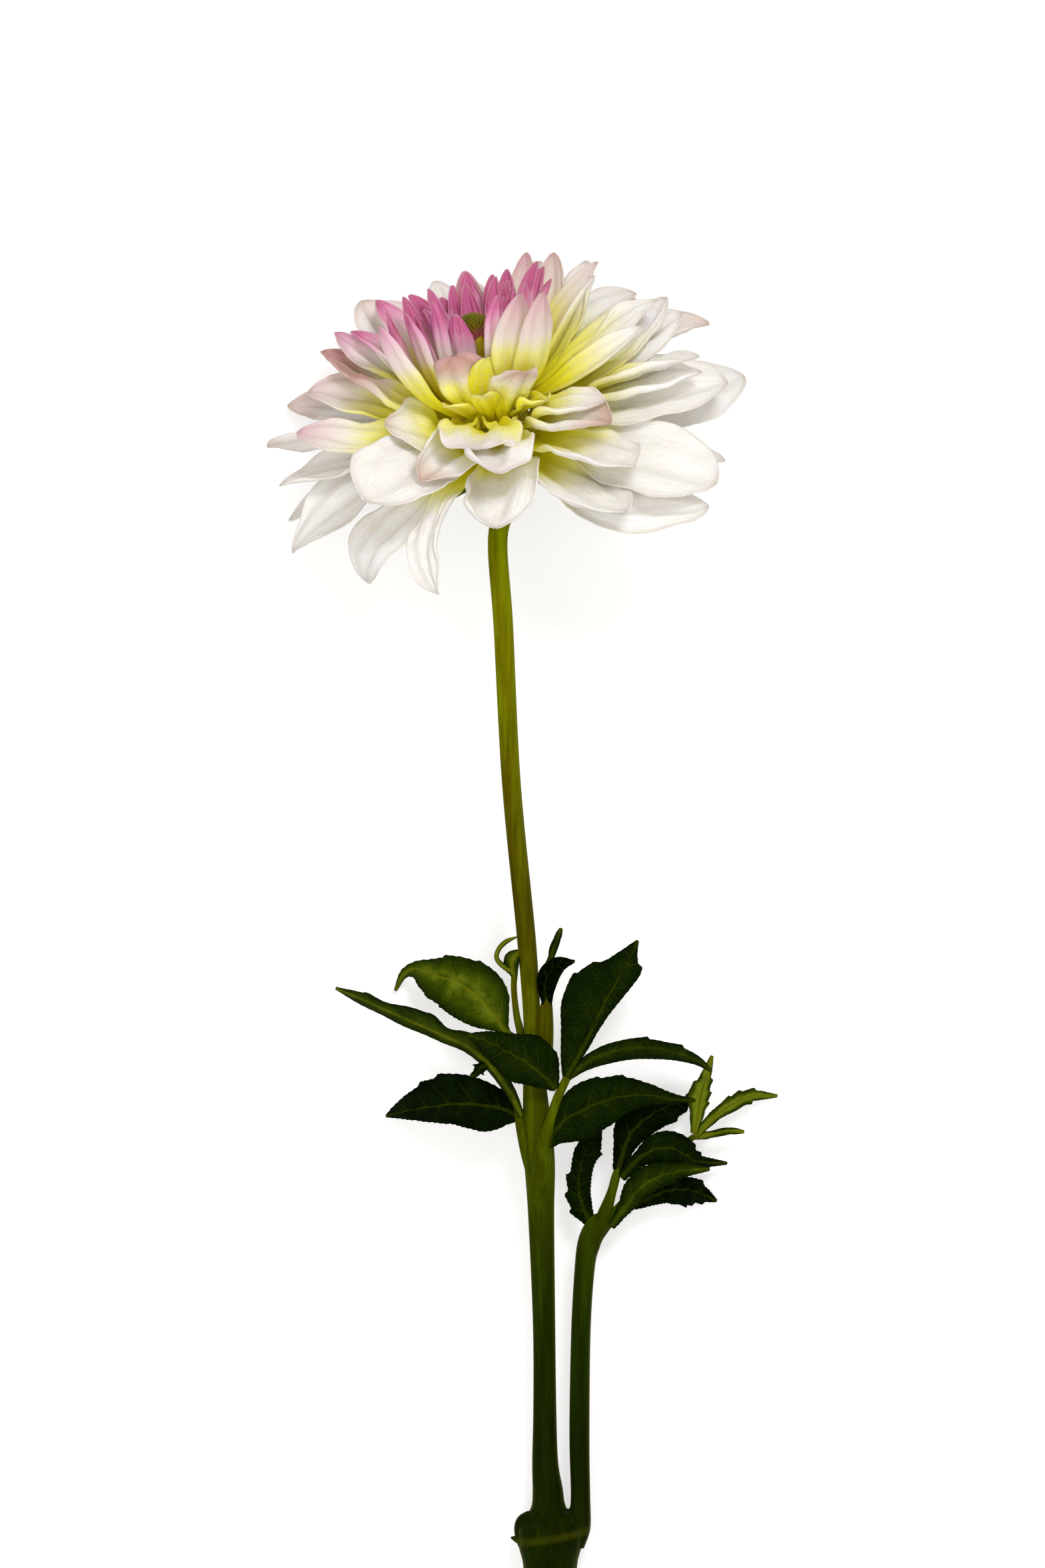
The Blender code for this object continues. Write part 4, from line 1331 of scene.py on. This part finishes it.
def toothed(leaf, side, half, u):
    """A half width with the teeth of its edge, which vanish where the leaflet is narrow."""
    room = smooth(half / 1.5)
    fine = ((u * SAW_TEETH + 0.4 * side) % 1) ** 1.5 * leaf.saw * room
    large = sum(tooth(u, place) for place in leaf.teeth[side])
    return half * (1 - 0.06 * large) + fine + large * leaf.bite * room


def leaflet_sheet(leaf):
    """A leaflet's points, and the attributes its skin reads."""
    marks, v = np.linspace(0, 1, LEAF_ROWS + 1), np.linspace(-1, 1, LEAF_COLUMNS + 1)
    route, length = along_route(leaf.stations, marks)
    route[:, 3:] = np.maximum(route[:, 3:], NARROWEST)
    ways = np.gradient(route[:, :3], axis=0)
    points, veins = [], []
    for u, way, (*middle, left, right) in zip(marks, ways, route):
        across = unit(np.array([way[1], -way[0], 0]))
        half = np.where(v < 0, toothed(leaf, 0, left, u), toothed(leaf, 1, right, u))
        reach = v * half
        # Side veins run forwards from the midrib, and the two halves' are out of step.
        phase = (u - 0.8 * np.abs(reach) / length) * leaf.veins + 0.2 * np.sign(v)
        beside = np.abs(phase - np.round(phase)) / leaf.veins * length
        rib = np.exp(-((reach / (RIB_WIDTH - 0.5 * u)) ** 2))
        branch = np.exp(-((beside / VEIN_WIDTH) ** 2)) * smooth(6 * u) * (1 - np.abs(v) ** 4)
        vein = np.maximum(rib, 0.65 * branch * smooth(half / 2))
        tilt = np.radians(np.where(v < 0, leaf.tilt[0], leaf.tilt[1])) * smooth(6 * u)
        lift = np.tan(tilt) * np.abs(reach) - 0.01 * reach**2 * np.sign(tilt)
        lift += leaf.wave * np.abs(v) ** 2 * np.sin(9 * u + 3 * np.sign(v)) * smooth(4 * u)
        swell = (0.5 - 0.5 * np.cos(math.tau * phase)) * smooth(5 * np.abs(v)) * (1 - v**4)
        lift += leaf.swell * np.minimum(1, half / FULL_SWELL) * (0.55 * swell - 0.3 * vein)
        points.append(middle + np.outer(reach, across) + np.outer(lift, (0, 0, 1)))
        veins.append(vein)
    points = np.array(points)
    points[..., 2] = np.maximum(points[..., 2], LEAF_WALL)
    breadth, along = np.meshgrid(v, marks)
    values = {"along": along, "across": breadth, "vein": np.array(veins), "tone": leaf.tone}
    return points, values


leaf_skin, tree, shader = surface("leaf_skin", 0.6, 0.015)
tone, vein = attribute(tree, "tone"), attribute(tree, "vein")
# Painted shade: each blade is darker towards its edges, and the mottle makes it darker and lighter in
# patches, painted shade and light; the mottle also gives the relief.
mottle = noise(tree, in_metres(tree), 220, 3.0)
edge = number(tree, "POWER", attribute(tree, "across"), 2.0)
tone = number(tree, "MULTIPLY", tone, number(tree, "MULTIPLY_ADD", edge, -0.7, 1.15))
tone = number(tree, "ADD", tone, number(tree, "MULTIPLY_ADD", mottle, 0.5, -0.25), clamp=True)
green = ramp(
    tree,
    tone,
    [
        (0.0, (0.0006, 0.003, 0.0001)),
        (0.3, (0.006, 0.015, 0.0003)),
        (0.6, (0.020, 0.036, 0.0006)),
        (0.8, (0.042, 0.066, 0.0008)),
        (1.0, (0.14, 0.18, 0.008)),
    ],
)
# A fine net of small veins, with cells of about a millimetre and bent lines.
inputs = {"Vector": in_metres(tree), "Scale": 500.0}
bent = node(tree, "ShaderNodeTexNoise", inputs).outputs["Color"]
inputs = {0: bent, 1: (1 * MM, 1 * MM, 1 * MM), 2: in_metres(tree)}
bent = node(tree, "ShaderNodeVectorMath", inputs, operation="MULTIPLY_ADD").outputs[0]
inputs = {"Vector": bent, "Scale": 900.0}
net = node(tree, "ShaderNodeTexVoronoi", inputs, feature="DISTANCE_TO_EDGE").outputs[0]
net = rise(tree, net, 0.0, 0.13, 1.0, 0.0)
net = number(tree, "MULTIPLY", net, rise(tree, tone, 0.25, 0.8, 0.45, 0.08))
green = blend(tree, net, green, (0.001, 0.003, 0.0001))
light = blend(tree, 1.0, green, (0.020, 0.024, 0.0003), "ADD")
light = blend(tree, rise(tree, tone, 0.5, 0.9), light, (0.12, 0.135, 0.004))
green = blend(tree, rise(tree, vein, 0.2, 0.85), green, light)
finish_skin(tree, shader, green, number(tree, "SUBTRACT", mottle, net), 0.3 * MM)

for name, leaf in {**LEAFLETS, **SMALL_LEAFLETS}.items():
    source = sheet_object(f"{name}_blade", [leaflet_sheet(leaf)])
    blade = grown(source, blade_tree, leaf_skin, Wall=LEAF_WALL * MM)
    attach(blade, "root")
    if name in LEAFLETS:
        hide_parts(name)

# ---------------------------------------------------------------- surface and light
# A plain white surface, which shows white to the camera and still takes the flower's shadow. The
# light is soft and comes from above, a little stronger from the right.
floor_mesh = bmesh.new()
bmesh.ops.create_grid(floor_mesh, x_segments=1, y_segments=1, size=6)
floor = mesh_object("floor", floor_mesh)
floor.location.z = -0.2 * MM
white, tree, shader = surface("floor_white", 0.9, 0.0)
shader.inputs["Base Color"].default_value = (0.62, 0.62, 0.62, 1)
paths = node(tree, "ShaderNodeLightPath").outputs
seen = number(tree, "MAXIMUM", paths["Is Camera Ray"], paths["Is Glossy Ray"])
seen = number(tree, "MAXIMUM", seen, paths["Is Transmission Ray"])
glow = node(tree, "ShaderNodeEmission", {"Strength": number(tree, "MULTIPLY", seen, 0.56)})
both = node(tree, "ShaderNodeAddShader", {0: shader.outputs[0], 1: glow.outputs[0]})
tree.links.new(both.outputs[0], tree.nodes["Material Output"].inputs["Surface"])
floor.data.materials.append(white)

world = bpy.data.worlds.new("world")
bpy.context.scene.world = world
world.use_nodes = True
sky = world.node_tree.nodes["Background"]
sky.inputs["Color"].default_value = (1, 0.95, 0.88, 1)
sky.inputs["Strength"].default_value = 0.585


def lamp(name, place, size, power):
    """A square soft box that faces the flower."""
    data = bpy.data.lights.new(name, "AREA")
    data.shape = "SQUARE"
    data.size, data.energy = size, power
    made = add_object(name, data)
    made.location = place
    way = Vector((0, 20 * MM, 0)) - Vector(place)
    made.rotation_euler = way.to_track_quat("-Z", "Y").to_euler()


lamp("key", (0.25, 0.6, 1.2), 0.3, 7.0)
lamp("fill", (-0.4, -0.3, 1.2), 0.9, 5.0)

bpy.context.scene.view_settings.view_transform = "Standard"
